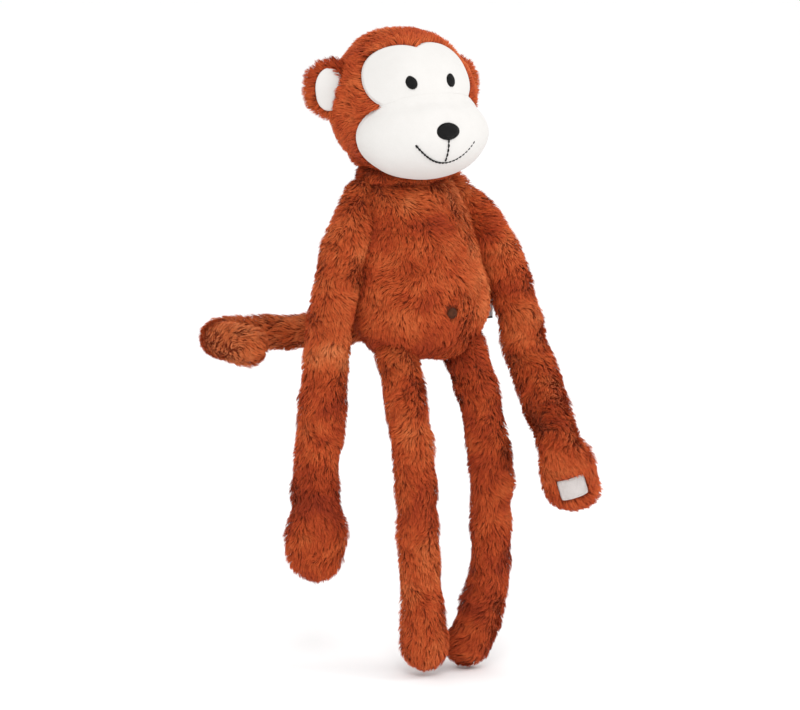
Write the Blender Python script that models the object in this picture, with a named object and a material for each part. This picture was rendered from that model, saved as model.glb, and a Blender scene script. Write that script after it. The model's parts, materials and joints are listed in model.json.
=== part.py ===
"""Long-limbed stuffed monkey, sitting with its arms, legs and tail hanging loose.

Metres, +Z up. The toy faces -Y and its right side is -X. The origin is on the flat seat
under the torso. Every stuffed segment is a fabric cover with its own stuffing inside.
A segment starts with a ball centred on its joint, and the one before it ends in a dome
that stops a seam gap short of that ball, so that a joint can bend without overlap.
"""

import math

import bmesh
import bpy
from mathutils import Matrix, Vector

# Fabric and clearances
WALL = 0.0012
GAP = 0.0004
SEAM_GAP = 0.0008
SEAM_OPENING = 0.007

# Torso: an egg, widest at BELLY_HEIGHT, that leans back and a little to its right
TORSO_HALF_WIDTH = 0.062
TORSO_HALF_DEPTH = 0.051
BELLY_HEIGHT = 0.062
COLLAR_HEIGHT = 0.146
COLLAR_SHARE = 0.661
COLLAR_RIM_RISE = 0.007
COLLAR_ROUNDING = ((0.87, 0.004), (0.70, 0.0065))
UNDERSIDE_FULLNESS = 1.12
UNDERSIDE_POWER = 2.2
BELLY_CENTRE_Y = 0.002
LEAN_BACK = 0.155
LEAN_SIDE = -0.045
LEAN_START = 0.03
SEAT_HALF_WIDTH = 0.030
SEAT_HALF_DEPTH = 0.018
SEAT_CENTRE_Y = 0.013
SEAT_EDGE_HEIGHT = 0.005
SEAT_BAND = 0.005
TORSO_FILL_GAP = 0.0018
TORSO_FILL_SHIFT = 0.002
TORSO_FILL_RIM = 0.004

# Neck
NECK_RISE = 0.009
NECK_RADIUS = 0.012
NECK_OPENING = 0.0155
BALL_CLEARANCE = 0.003

# Head: a ball with a broad muzzle bulging out of its lower front
HEAD_RADIUS = 0.062
CHIN_GAP = 0.0008
HEAD_BACK = 0.002
MUZZLE_HALF_WIDTH = 0.058
MUZZLE_HALF_DEPTH = 0.046
MUZZLE_HALF_HEIGHT = 0.037
MUZZLE_FORWARD = 0.031
CHIN_RISE = 0.002
MUZZLE_BLEND = 20.0
MUZZLE_MARGIN = 1.05
MUZZLE_BACK = 0.024
MASK_HALF_WIDTH = 0.050
MASK_TOP = 0.0565
MASK_LOBE_WIDTH = 0.032
MASK_LOBE_HEIGHT = 0.0325
MASK_BACK = 0.004
FACE_SHIFT = -0.0025
HEAD_TURN = math.radians(-0.5)
HEAD_FILL_GAP = 0.0033
HEAD_FILL_OPENING = 0.0185
FACE_REACH = 0.12
CUTTER_REACH = 0.13

# Ears
EAR_HEIGHT = 0.048
EAR_REACH = 0.024
EAR_DEPTH = 0.009
EAR_BACK = 0.009
EAR_RISE = 0.017
EAR_SPLAY = math.radians(20)
EAR_LINING_SHARE = 0.72
EAR_LINING_DEPTH = 0.003
EAR_LINING_SHIFT = 0.002
EAR_CLEARANCE = 0.0010

# Embroidery
EYE_WIDTH = 0.0098
EYE_HEIGHT = 0.0115
EYE_SPACING = 0.038
EYE_RISE = 0.0235
NOSE_WIDTH = 0.0215
NOSE_HEIGHT = 0.0140
NOSE_DROP = 0.0165
STITCH_DEPTH = 0.0016
SMILE_HALF_WIDTH = 0.029
SMILE_TOP_DROP = 0.0265
SMILE_BOTTOM_DROP = 0.0430
MOUTH_THREAD = 0.0016
SMILE_POINTS = 9
BELLY_BUTTON_WIDTH = 0.009
BELLY_BUTTON_RISE = 0.044
BELLY_BUTTON_SIDE = 0.004

# Side label
LABEL_LENGTH = 0.007
LABEL_HEIGHT = 0.015
LABEL_THICKNESS = 0.0014
LABEL_RISE = 0.041
LABEL_CLEARANCE = 0.0008
SIDE_SEAM_TURN = math.radians(4)

# Arms
SHOULDER_RADIUS = 0.008
UPPER_ARM_RADIUS = 0.0195
ELBOW_RADIUS = 0.0175
FOREARM_RADIUS = 0.0185
WRIST_RADIUS = 0.0160
HAND_HALF_WIDTH = 0.0250
HAND_HALF_THICKNESS = 0.0150
HAND_LENGTH = 0.072
PATCH_WIDTH = 0.025
PATCH_HEIGHT = 0.021
PATCH_THICKNESS = 0.0018
PATCH_PLACE = 0.60
PATCH_LIFT = 0.0006
SHOULDER_CLEARANCE = 0.0025
SHOULDER_OPENING = 0.005
UPPER_ARM_TAPER = (0.28, 0.015, 0.0112)
UPPER_ARM_FULL = 0.62
FOREARM_FULL = 0.5
HAND_FULL = 0.55
HAND_TIP_SHARE = 0.9

# Legs
THIGH_RADIUS = 0.0160
KNEE_RADIUS = 0.0155
FOOT_RADIUS = 0.0190
HIP_SPACING = 0.068
HIP_FORWARD = 0.024
HIP_TUCK = 0.003
SHIN_EVEN = 0.6

# Tail: it lies on whatever the toy sits on
TAIL_ROOT_HEIGHT = 0.021
TAIL_CLEARANCE = 0.006
TAIL_REST = 0.0012
TAIL_ROOT_RADIUS = 0.0115
TAIL_RADIUS = 0.0130
TAIL_FULL = 0.3
TAIL_OPENING = 0.008

# Facets
LIMB_SIDES = 10
BODY_SIDES = 28
HEAD_SIDES = 24
OUTLINE_POINTS = 32


TORSO_RISE = (COLLAR_HEIGHT - BELLY_HEIGHT) / math.sqrt(1 - COLLAR_SHARE**2)
TORSO_DROP = BELLY_HEIGHT * UNDERSIDE_FULLNESS
MUZZLE_DROP = HEAD_RADIUS - MUZZLE_HALF_HEIGHT - CHIN_RISE


def torso_axis(z):
    """Centre of the torso's section at height z."""
    return Vector((LEAN_SIDE * z, BELLY_CENTRE_Y + LEAN_BACK * max(z - LEAN_START, 0.0), z))


def torso_share(z):
    """Width of the torso at height z, as a share of its greatest width."""
    if z >= BELLY_HEIGHT:
        return math.sqrt(1 - ((z - BELLY_HEIGHT) / TORSO_RISE) ** 2)
    inner = 1 - ((BELLY_HEIGHT - z) / TORSO_DROP) ** UNDERSIDE_POWER
    return inner ** (1 / UNDERSIDE_POWER)


NECK = torso_axis(COLLAR_HEIGHT + NECK_RISE)
HEAD = NECK + Vector((0, HEAD_BACK, HEAD_RADIUS + CHIN_GAP))


def shoulder(side):
    """Where an arm is sewn to the torso. Side is -1 for the toy's right and 1 for its left."""
    out = TORSO_HALF_WIDTH * COLLAR_SHARE + SHOULDER_RADIUS + SHOULDER_CLEARANCE
    return torso_axis(COLLAR_HEIGHT) + Vector((side * out, 0, 0))


def beside(side, out, y, drop):
    """A point of an arm that hangs clear of the torso, below the shoulder."""
    reach = TORSO_HALF_WIDTH + UPPER_ARM_RADIUS + out
    return Vector((side * reach, y, COLLAR_HEIGHT - drop))


def hip(side):
    """Where a leg is sewn to the front of the torso's underside."""
    return Vector((side * HIP_SPACING / 2, -HIP_FORWARD, HIP_TUCK - THIGH_RADIUS))


# Joint centres and the points that each segment curves by, in the resting pose.
# Arm bends are beside the torso; every other entry is measured from the joint above it.
ARM = {
    "right": {
        "shoulder": shoulder(-1),
        "upper_bend": (beside(-1, -0.0035, -0.006, 0.034), beside(-1, 0.0075, 0.006, 0.086)),
        "elbow": beside(-1, 0.0075, 0.009, 0.136),
        "forearm_bend": (-0.004, 0.001, -0.060),
        "wrist": (-0.006, 0.003, -0.116),
        "hand": (0.01, 0.0, -1.0),
        "palm": (0.5, 0.866, 0.0),
    },
    "left": {
        "shoulder": shoulder(1),
        "upper_bend": (beside(1, -0.0135, 0.000, 0.032), beside(1, 0.0085, -0.012, 0.084)),
        "elbow": beside(1, 0.0085, -0.018, 0.136),
        "forearm_bend": (0.002, -0.034, -0.046),
        "wrist": (-0.010, -0.076, -0.078),
        "hand": (0.436, 0.256, -0.868),
        "palm": (-0.291, -0.864, -0.409),
    },
}
LEG = {
    "right": {
        "hip": hip(-1),
        "thigh_bend": (0.0015, -0.0195, -0.0555),
        "knee": (0.005, -0.017, -0.109),
        "shin_bend": (0.003, 0.003, -0.068),
        "foot": (-FOOT_RADIUS - 0.0025, -0.001, -0.123),
    },
    "left": {
        "hip": hip(1),
        "thigh_bend": (0.0065, -0.0305, -0.0475),
        "knee": (0.007, -0.023, -0.109),
        "shin_bend": (0.0035, -0.001, -0.0835),
        "foot": (FOOT_RADIUS + 0.005, 0.010, -0.125),
    },
}
for arm in ARM.values():
    arm["forearm_bend"] = arm["elbow"] + Vector(arm["forearm_bend"])
    arm["wrist"] = arm["elbow"] + Vector(arm["wrist"])
    arm["hand"] = Vector(arm["hand"]).normalized()
    arm["palm"] = Vector(arm["palm"])
for leg in LEG.values():
    leg["thigh_bend"] = leg["hip"] + Vector(leg["thigh_bend"])
    leg["knee"] = leg["hip"] + Vector(leg["knee"])
    leg["shin_bend"] = leg["knee"] + Vector(leg["shin_bend"])
    foot = Vector(leg["foot"])
    leg["foot"] = Vector((foot.x, leg["knee"].y + foot.y, leg["knee"].z + foot.z))
TAIL_BACK = TORSO_HALF_DEPTH * torso_share(TAIL_ROOT_HEIGHT) + TAIL_ROOT_RADIUS + TAIL_CLEARANCE
TAIL_ROOT = Vector((0, BELLY_CENTRE_Y + TAIL_BACK, TAIL_ROOT_HEIGHT))
TAIL_LEVEL = TAIL_RADIUS + TAIL_REST
TAIL_BEND = Vector((-0.055, TAIL_ROOT.y + 0.0155, TAIL_LEVEL))
TAIL_FOLD = Vector((-0.132, TAIL_ROOT.y + 0.0495, TAIL_LEVEL))
TAIL_TURN = TAIL_FOLD + Vector((-0.022, -0.021, 0))
TAIL_END = TAIL_TURN + Vector((0.016, -0.032, 0))

PIVOTS = {}


def clear_scene():
    for thing in list(bpy.data.objects):
        bpy.data.objects.remove(thing)


def material(name, colour, roughness):
    made = bpy.data.materials.new(name)
    made.use_nodes = True
    shader = made.node_tree.nodes["Principled BSDF"]
    shader.inputs["Base Color"].default_value = (*colour, 1)
    shader.inputs["Roughness"].default_value = roughness
    shader.inputs["Metallic"].default_value = 0.0
    return made


def pivot(name, place, parent=None):
    """An empty on a joint, carried by the joint before it."""
    empty = bpy.data.objects.new("pivot_" + name, None)
    bpy.context.collection.objects.link(empty)
    empty.empty_display_size = 0.01
    base = Vector()
    if parent:
        empty.parent = PIVOTS[parent][0]
        base = PIVOTS[parent][1]
    empty.location = Vector(place) - base
    PIVOTS[name] = (empty, Vector(place))


def add_object(name, mesh, body, look):
    """Moves the mesh to its pivot, so that the object's origin is on its joint."""
    empty, place = PIVOTS[body]
    made = bpy.data.objects.new(name, mesh)
    bpy.context.collection.objects.link(made)
    mesh.transform(Matrix.Translation(-place))
    made.parent = empty
    mesh.materials.append(look)
    mesh.shade_smooth()
    mesh.set_sharp_from_angle(angle=math.radians(50))
    return made


def skin(name, rings, closed_round=True):
    """A mesh over rings of points. A ring of one point is a pole."""
    grid = bmesh.new()
    made = [[grid.verts.new(point) for point in ring] for ring in rings]
    for first, second in zip(made, made[1:]):
        count = max(len(first), len(second))
        for i in range(count if closed_round else count - 1):
            j = (i + 1) % count
            corners = [first[i % len(first)], first[j % len(first)]]
            corners += [second[j % len(second)], second[i % len(second)]]
            grid.faces.new(list(dict.fromkeys(corners)))
    bmesh.ops.recalc_face_normals(grid, faces=grid.faces)
    mesh = bpy.data.meshes.new(name)
    grid.to_mesh(mesh)
    grid.free()
    return mesh


def face_out(mesh, centre):
    """Turns an open skin's faces away from its centre."""
    first = mesh.polygons[len(mesh.polygons) // 2]
    if first.normal.dot(first.center - Vector(centre)) < 0:
        mesh.flip_normals()


def fabric(thing, wall=WALL):
    """Gives an open skin its cloth thickness, inwards."""
    cloth = thing.modifiers.new("Cloth", "SOLIDIFY")
    cloth.thickness = wall
    cloth.offset = -1
    cloth.use_even_offset = False
    return thing


def cut(thing, cutter, operation="DIFFERENCE"):
    """Cuts the object with a hidden cutter."""
    cutter.hide_render = True
    cutter.display_type = "WIRE"
    trim = thing.modifiers.new("Cut", "BOOLEAN")
    trim.operation = operation
    trim.object = cutter


def bezier(points, t):
    """A point on the curve of any degree through the first and last points."""
    points = [Vector(p) for p in points]
    while len(points) > 1:
        points = [a.lerp(b, t) for a, b in zip(points, points[1:])]
    return points[0]


def eased(stations, t):
    """The values at t, between stations of (t, value, value), with smooth steps."""
    for (t0, *first), (t1, *second) in zip(stations, stations[1:]):
        if t <= t1:
            share = (t - t0) / (t1 - t0)
            share = share * share * (3 - 2 * share)
            return [a + (b - a) * share for a, b in zip(first, second)]
    return stations[-1][1:]


def tube_rings(path, stations, inset, holes, broad, steps):
    """Rings along a curved tube with ellipsoid ends. A hole of None closes that end."""
    rings = []
    before = None
    stretch = [(0, angle) for angle in (0, 25, 50, 72)]
    stretch += [(i / steps, 90) for i in range(steps + 1)]
    stretch += [(1, angle) for angle in (108, 130, 155, 180)]
    for t, degrees in stretch:
        width, depth = (value - inset for value in eased(stations, t))
        angle = math.radians(degrees)
        hole = holes[0] if degrees < 90 else holes[1]
        if degrees != 90 and hole is not None:
            if math.sin(angle) * width < hole - inset:
                continue
        step = 0.002
        ahead = bezier(path, min(t + step, 1)) - bezier(path, max(t - step, 0))
        ahead.normalize()
        side = broad - ahead * broad.dot(ahead)
        side.normalize()
        face = ahead.cross(side)
        reach = -math.cos(angle) * width
        centre = bezier(path, t) + ahead * reach
        if degrees in (0, 180):
            rings.append([centre])
            continue
        ring = []
        for i in range(LIMB_SIDES):
            turn = 2 * math.pi * i / LIMB_SIDES
            across = side * math.cos(turn) * width + face * math.sin(turn) * depth
            ring.append(centre + across * math.sin(angle))
        if before is None or (centre - before).length > 1e-6:
            rings.append(ring)
        before = centre
    return rings


def segment(name, body, path, stations, looks, holes, broad=Vector((1, 0.01, 0)), steps=5):
    """A cover open at its seams, and the stuffing inside it."""
    rings = tube_rings(path, stations, 0.0, holes, broad, steps)
    outer = skin(name + "_cover", rings)
    middle = sum((Vector(p) for p in rings[len(rings) // 2]), Vector()) / LIMB_SIDES
    face_out(outer, middle)
    fabric(add_object(name + "_cover", outer, body, looks["fur"]))
    inner = tube_rings(path, stations, WALL + GAP, (None, None), broad, steps)
    core = skin(name + "_stuffing", inner)
    add_object(name + "_stuffing", core, body, looks["stuffing"])


def next_dome(path, ball, radius):
    """The path again, ending where a dome of this radius stops short of the next ball."""
    end = Vector(path[-1])
    back = (bezier(path, 0.9) - end).normalized()
    return [*path[:-1], end + back * (ball + SEAM_GAP + radius)]


def make_pivots():
    pivot("root", (0, 0, 0))
    pivot("neck", NECK, "root")
    pivot("head", NECK, "neck")
    for side in ("right", "left"):
        arm, leg = ARM[side], LEG[side]
        pivot(side + "_upper_arm", arm["shoulder"], "root")
        pivot(side + "_forearm", arm["elbow"], side + "_upper_arm")
        pivot(side + "_hand", arm["wrist"], side + "_forearm")
        pivot(side + "_thigh", leg["hip"], "root")
        pivot(side + "_shin", leg["knee"], side + "_thigh")
    pivot("tail_base", TAIL_ROOT, "root")
    pivot("tail_middle", TAIL_FOLD, "tail_base")
    pivot("tail_tip", TAIL_TURN, "tail_middle")


def torso_sections():
    """Heights of the torso's sections, each with its share of the torso's width there."""
    heights = [SEAT_EDGE_HEIGHT + SEAT_BAND]
    heights += [BELLY_HEIGHT * share for share in (0.32, 0.58, 1.0)]
    rise = COLLAR_HEIGHT - BELLY_HEIGHT
    heights += [BELLY_HEIGHT + rise * share for share in (0.3, 0.55, 0.8, 1.0)]
    sections = [(z, torso_share(z)) for z in heights]
    for share, lift in COLLAR_ROUNDING:
        sections.append((COLLAR_HEIGHT + lift, COLLAR_SHARE * share))
    return sections


def torso_ring(z, share, inset, angles):
    """One section of the torso: an ellipse about its axis, or the seat where z is 0."""
    if z <= 0:
        centre = Vector((0, SEAT_CENTRE_Y, inset))
        width, depth = SEAT_HALF_WIDTH, SEAT_HALF_DEPTH
    else:
        centre = torso_axis(z)
        width, depth = TORSO_HALF_WIDTH * share, TORSO_HALF_DEPTH * share
    ring = []
    for angle in angles:
        across = (width - inset) * math.cos(angle)
        along = (depth - inset) * math.sin(angle)
        ring.append(centre + Vector((across, along, 0)))
    return ring


def torso_surface(name, first, last, look):
    """A fabric panel of the torso between the angles of two seams."""
    steps = round(BODY_SIDES * (last - first) / (2 * math.pi))
    rings = []
    for z, share in torso_sections():
        reach = TORSO_HALF_WIDTH * share
        margin = SEAM_GAP / 2 / reach
        start, stop = first + margin, last - margin
        angles = [start + (stop - start) * i / steps for i in range(steps + 1)]
        rings.append(torso_ring(z, share, 0.0, angles))
    start = first + SEAM_GAP / 2 / NECK_OPENING
    stop = last - SEAM_GAP / 2 / NECK_OPENING
    angles = [start + (stop - start) * i / steps for i in range(steps + 1)]
    centre = torso_axis(COLLAR_HEIGHT) + Vector((0, 0, COLLAR_RIM_RISE))
    collar = []
    for angle in angles:
        out = Vector((math.cos(angle), math.sin(angle), 0)) * NECK_OPENING
        collar.append(centre + out)
    rings.append(collar)
    mesh = skin(name, rings, closed_round=False)
    face_out(mesh, torso_axis(BELLY_HEIGHT))
    return fabric(add_object(name, mesh, "root", look))


def seat_panel(look):
    """The gusset that closes the torso's underside, flat where the toy sits."""
    whole = [2 * math.pi * i / BODY_SIDES for i in range(BODY_SIDES)]
    rings = [[Vector((0, SEAT_CENTRE_Y, 0))], torso_ring(0, 1.0, 0.0, whole)]
    for z in (SEAT_EDGE_HEIGHT, SEAT_EDGE_HEIGHT + SEAT_BAND - SEAM_GAP):
        rings.append(torso_ring(z, torso_share(z), 0.0, whole))
    mesh = skin("seat_panel", rings)
    face_out(mesh, torso_axis(BELLY_HEIGHT))
    return fabric(add_object("seat_panel", mesh, "root", look))


def torso_stuffing(look):
    """The torso's filling, hollowed at the top for the ball of the neck."""
    inset = WALL + TORSO_FILL_GAP
    whole = [2 * math.pi * i / BODY_SIDES for i in range(0, BODY_SIDES, 2)]
    seat = Vector((0, SEAT_CENTRE_Y, inset))
    rings = [[seat], torso_ring(0, 1.0, inset, whole)]
    for z, share in torso_sections()[:-1]:
        lift = TORSO_FILL_SHIFT if z < BELLY_HEIGHT else -TORSO_FILL_SHIFT
        rings.append(torso_ring(z + lift, share, inset, whole))
    top = torso_axis(NECK.z - NECK_RADIUS - BALL_CLEARANCE)
    for grow in (TORSO_FILL_RIM, 0.0):
        radius = NECK_OPENING + grow
        ring = []
        for angle in whole:
            out = Vector((math.cos(angle) * radius, math.sin(angle) * radius, grow))
            ring.append(top + out)
        rings.append(ring)
    rings.append([top])
    add_object("torso_stuffing", skin("torso_stuffing", rings), "root", look)


def head_reach(way):
    """Distance from the head's centre to its surface along a unit vector."""
    centre = Vector((0, -MUZZLE_FORWARD, -MUZZLE_DROP))
    axes = (MUZZLE_HALF_WIDTH, MUZZLE_HALF_DEPTH, MUZZLE_HALF_HEIGHT)
    a = sum((way[i] / axes[i]) ** 2 for i in range(3))
    b = sum(way[i] * centre[i] / axes[i] ** 2 for i in range(3))
    c = sum((centre[i] / axes[i]) ** 2 for i in range(3)) - 1
    muzzle = (b + math.sqrt(b * b - a * c)) / a
    return (HEAD_RADIUS**MUZZLE_BLEND + muzzle**MUZZLE_BLEND) ** (1 / MUZZLE_BLEND)


def head_place(local):
    """World place of a point given from the head's centre, with the face towards -Y."""
    return HEAD + Matrix.Rotation(HEAD_TURN, 3, "Z") @ Vector(local)


def head_front(x, z):
    """The point on the front of the head at this place in its front view."""
    near, far = 0.0, FACE_REACH
    for _ in range(40):
        middle = (near + far) / 2
        point = Vector((x, -middle, z))
        if point.length < head_reach(point.normalized()):
            near = middle
        else:
            far = middle
    return Vector((x, -near, z))


def head_normal(point):
    """The head's outward direction at a point on its surface."""
    step = 0.0005
    slopes = []
    for axis in range(3):
        ends = []
        for way in (-step, step):
            moved = Vector(point)
            moved[axis] += way
            ends.append(moved.length - head_reach(moved.normalized()))
        slopes.append(ends[1] - ends[0])
    return Vector(slopes).normalized()


def head_rings(inset, first, sides):
    """Rings of the head's surface from a polar angle at the neck up to the crown."""
    rings = []
    steps = HEAD_SIDES // 2 + 1
    for i in range(steps + 1):
        polar = first + (math.pi - first) * i / steps
        ring = []
        for j in range(sides):
            turn = 2 * math.pi * j / sides
            way = Vector((math.cos(turn), math.sin(turn), 0)) * math.sin(polar)
            way.z = -math.cos(polar)
            ring.append(head_place(way * (head_reach(way) - inset)))
        rings.append([ring[0]] if i == steps else ring)
    return rings


def head_shell(name, look):
    """The whole skin of the head, open at the neck, before its panels are cut."""
    opening = math.asin(NECK_OPENING / HEAD_RADIUS)
    mesh = skin(name, head_rings(0.0, opening, HEAD_SIDES))
    face_out(mesh, HEAD)
    return fabric(add_object(name, mesh, "head", look))


def mask_outline(grow):
    """Front view of the upper face: two rounded lobes with a dip between them."""
    centre = MASK_HALF_WIDTH - MASK_LOBE_WIDTH
    middle = MASK_TOP - MASK_LOBE_HEIGHT
    wide, tall = MASK_LOBE_WIDTH + grow, MASK_LOBE_HEIGHT + grow
    points = []
    for i in range(OUTLINE_POINTS):
        angle = 2 * math.pi * (i + 0.5) / OUTLINE_POINTS
        across, up = abs(math.cos(angle)), math.sin(angle)
        a = (across / wide) ** 2 + (up / tall) ** 2
        b = across * centre / wide**2
        c = (centre / wide) ** 2 - 1
        reach = (b + math.sqrt(b * b - a * c)) / a
        points.append((FACE_SHIFT + reach * math.cos(angle), middle + reach * up))
    return points


def muzzle_outline(grow):
    """Front view of the muzzle: an ellipse a little larger than its bulge."""
    points = []
    for i in range(OUTLINE_POINTS):
        angle = 2 * math.pi * (i + 0.5) / OUTLINE_POINTS
        across = (MUZZLE_HALF_WIDTH * MUZZLE_MARGIN + grow) * math.cos(angle)
        up = (MUZZLE_HALF_HEIGHT * MUZZLE_MARGIN + grow) * math.sin(angle)
        points.append((across, up - MUZZLE_DROP))
    return points


def prism(name, outline, back):
    """A cutter: an outline in the front view, pushed out through the face."""
    rings = []
    for forward in (back, CUTTER_REACH):
        rings.append([head_place((x, -forward, z)) for x, z in outline])
    middle_z = sum(z for _, z in outline) / len(outline)
    ends = [[head_place((0, -forward, middle_z))] for forward in (back, CUTTER_REACH)]
    mesh = skin(name, [ends[0], rings[0], rings[1], ends[1]])
    return add_object(name, mesh, "head", LOOKS["fur"])


def make_head(looks):
    cover = head_shell("head_cover", looks["fur"])
    face = head_shell("face_panel", looks["plush"])
    muzzle = head_shell("muzzle_panel", looks["plush"])
    mask_hole = prism("cut_mask_hole", mask_outline(SEAM_GAP / 2), MASK_BACK - SEAM_GAP)
    muzzle_hole = prism("cut_muzzle_hole", muzzle_outline(SEAM_GAP / 2), MUZZLE_BACK - SEAM_GAP)
    cut(cover, mask_hole)
    cut(cover, muzzle_hole)
    cut(face, prism("cut_mask", mask_outline(-SEAM_GAP / 2), MASK_BACK), "INTERSECT")
    cut(face, muzzle_hole)
    cut(muzzle, prism("cut_muzzle", muzzle_outline(-SEAM_GAP / 2), MUZZLE_BACK), "INTERSECT")
    inset = WALL + HEAD_FILL_GAP
    opening = math.asin(HEAD_FILL_OPENING / HEAD_RADIUS)
    rings = head_rings(inset, opening, HEAD_SIDES)
    floor = NECK - HEAD + Vector((0, 0, NECK_RADIUS + BALL_CLEARANCE))
    rim = []
    for j in range(HEAD_SIDES):
        turn = 2 * math.pi * j / HEAD_SIDES
        out = Vector((math.cos(turn), math.sin(turn), 0)) * NECK_OPENING
        rim.append(head_place(out + Vector((0, 0, floor.z))))
    rings = [[head_place((0, 0, floor.z))], rim, *rings]
    add_object("head_stuffing", skin("head_stuffing", rings), "head", looks["stuffing"])


def ball(name, centre, axes, sizes, body, look, sides=12):
    """An ellipsoid with these three axes and half sizes."""
    rings = []
    rows = sides // 2
    for i in range(rows + 1):
        polar = math.pi * i / rows
        ring = []
        for j in range(sides):
            turn = 2 * math.pi * j / sides
            point = Vector(centre) - axes[2] * math.cos(polar) * sizes[2]
            point += axes[0] * math.cos(turn) * math.sin(polar) * sizes[0]
            point += axes[1] * math.sin(turn) * math.sin(polar) * sizes[1]
            ring.append(point)
        rings.append([ring[0]] if i in (0, rows) else ring)
    return add_object(name, skin(name, rings), body, look)


def on_head(name, x, z, width, height, look, sides=12):
    """A low oval of satin stitch lying on the face."""
    spot = head_front(x, z)
    out = head_normal(spot)
    turn = Matrix.Rotation(HEAD_TURN, 3, "Z")
    across = Vector((1, 0, 0)) - out * out.x
    across.normalize()
    up = out.cross(across)
    place = head_place(spot + out * (STITCH_DEPTH / 2 + GAP))
    axes = [turn @ across, turn @ up, turn @ out]
    return ball(name, place, axes, (width / 2, height / 2, STITCH_DEPTH / 2), "head", look, sides)


def make_ear(side, sign, looks):
    """A padded ear: a furry back, and a smooth lining on its front."""
    turn = Matrix.Rotation(HEAD_TURN + sign * EAR_SPLAY, 3, "Z")
    axes = [turn @ Vector(a) for a in ((1, 0, 0), (0, 0, 1), (0, -1, 0))]
    centre = head_place((sign * HEAD_RADIUS, EAR_BACK, EAR_RISE))
    half = EAR_DEPTH / 2
    back = ball(side + "_ear_back", centre, axes, (EAR_REACH, EAR_HEIGHT / 2, half), "head",
                looks["fur"], 16)
    front = centre + axes[2] * (half + GAP + EAR_LINING_DEPTH / 2)
    front += axes[0] * sign * EAR_LINING_SHIFT
    share = EAR_LINING_SHARE
    sizes = (EAR_REACH * share, EAR_HEIGHT / 2 * share, EAR_LINING_DEPTH / 2)
    lining = ball(side + "_ear_lining", front, axes, sizes, "head", looks["plush"], 14)
    world = [Vector(a) for a in ((1, 0, 0), (0, 1, 0), (0, 0, 1))]
    clear = [HEAD_RADIUS + EAR_CLEARANCE] * 3
    cutter = ball("cut_" + side + "_ear", HEAD, world, clear, "head", looks["fur"], 32)
    cut(back, cutter)
    cut(lining, cutter)


def thread(name, spots, look):
    """A line of stitching over the muzzle."""
    line = bpy.data.curves.new(name, "CURVE")
    line.dimensions = "3D"
    line.bevel_depth = MOUTH_THREAD / 2
    line.bevel_resolution = 1
    line.use_fill_caps = True
    spline = line.splines.new("POLY")
    spline.points.add(len(spots) - 1)
    base = PIVOTS["head"][1]
    for point, (x, z) in zip(spline.points, spots):
        spot = head_front(x, z)
        lifted = spot + head_normal(spot) * (MOUTH_THREAD / 2 + GAP)
        point.co = (*(head_place(lifted) - base), 1)
    made = bpy.data.objects.new(name, line)
    bpy.context.collection.objects.link(made)
    made.parent = PIVOTS["head"][0]
    line.materials.append(look)


def make_features(looks):
    for side, sign in (("right", -1), ("left", 1)):
        across = FACE_SHIFT + sign * EYE_SPACING / 2
        on_head(side + "_eye", across, EYE_RISE, EYE_WIDTH, EYE_HEIGHT, looks["black"])
        make_ear(side, sign, looks)
    on_head("nose", 0, -NOSE_DROP, NOSE_WIDTH, NOSE_HEIGHT, looks["black"], 14)
    smile = []
    for i in range(SMILE_POINTS):
        share = 2 * i / (SMILE_POINTS - 1) - 1
        rise = (SMILE_BOTTOM_DROP - SMILE_TOP_DROP) * share**2
        smile.append((share * SMILE_HALF_WIDTH, rise - SMILE_BOTTOM_DROP))
    thread("smile", smile, looks["black"])
    top = -NOSE_DROP - NOSE_HEIGHT / 2 - GAP - MOUTH_THREAD / 2
    low = -SMILE_BOTTOM_DROP + MOUTH_THREAD + GAP
    thread("philtrum", [(0, top + (low - top) * i / 3) for i in range(4)], looks["black"])


def make_torso(looks):
    front = (SIDE_SEAM_TURN + math.pi, 2 * math.pi - SIDE_SEAM_TURN)
    torso_surface("torso_front_cover", *front, looks["fur"])
    torso_surface("torso_back_cover", front[1] - 2 * math.pi, front[0], looks["fur"])
    seat_panel(looks["fur"])
    torso_stuffing(looks["stuffing"])
    world = [Vector(a) for a in ((1, 0, 0), (0, 1, 0), (0, 0, 1))]
    ball("neck_stuffing", NECK, world, [NECK_RADIUS] * 3, "neck", looks["stuffing"])
    axis = torso_axis(BELLY_BUTTON_RISE)
    reach = TORSO_HALF_DEPTH * torso_share(BELLY_BUTTON_RISE) + GAP + STITCH_DEPTH / 2
    half = BELLY_BUTTON_WIDTH / 2
    spot = axis + Vector((BELLY_BUTTON_SIDE, -reach, 0))
    ball("belly_button", spot, [world[0], world[2], -world[1]],
         (half, half, STITCH_DEPTH / 2), "root", looks["brown"])
    axis = torso_axis(LABEL_RISE)
    near = TORSO_HALF_WIDTH * torso_share(LABEL_RISE) + LABEL_CLEARANCE
    corners = []
    for x in (near, near + LABEL_LENGTH):
        across = LABEL_THICKNESS / 2
        tall = LABEL_HEIGHT / 2
        square = [(-across, -tall), (across, -tall), (across, tall), (-across, tall)]
        corners.append([axis + Vector((x, y, z)) for y, z in square])
    ends = [[sum(ring, Vector()) / 4] for ring in corners]
    label = skin("side_label", [ends[0], *corners, ends[1]])
    add_object("side_label", label, "root", looks["label"])


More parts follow.
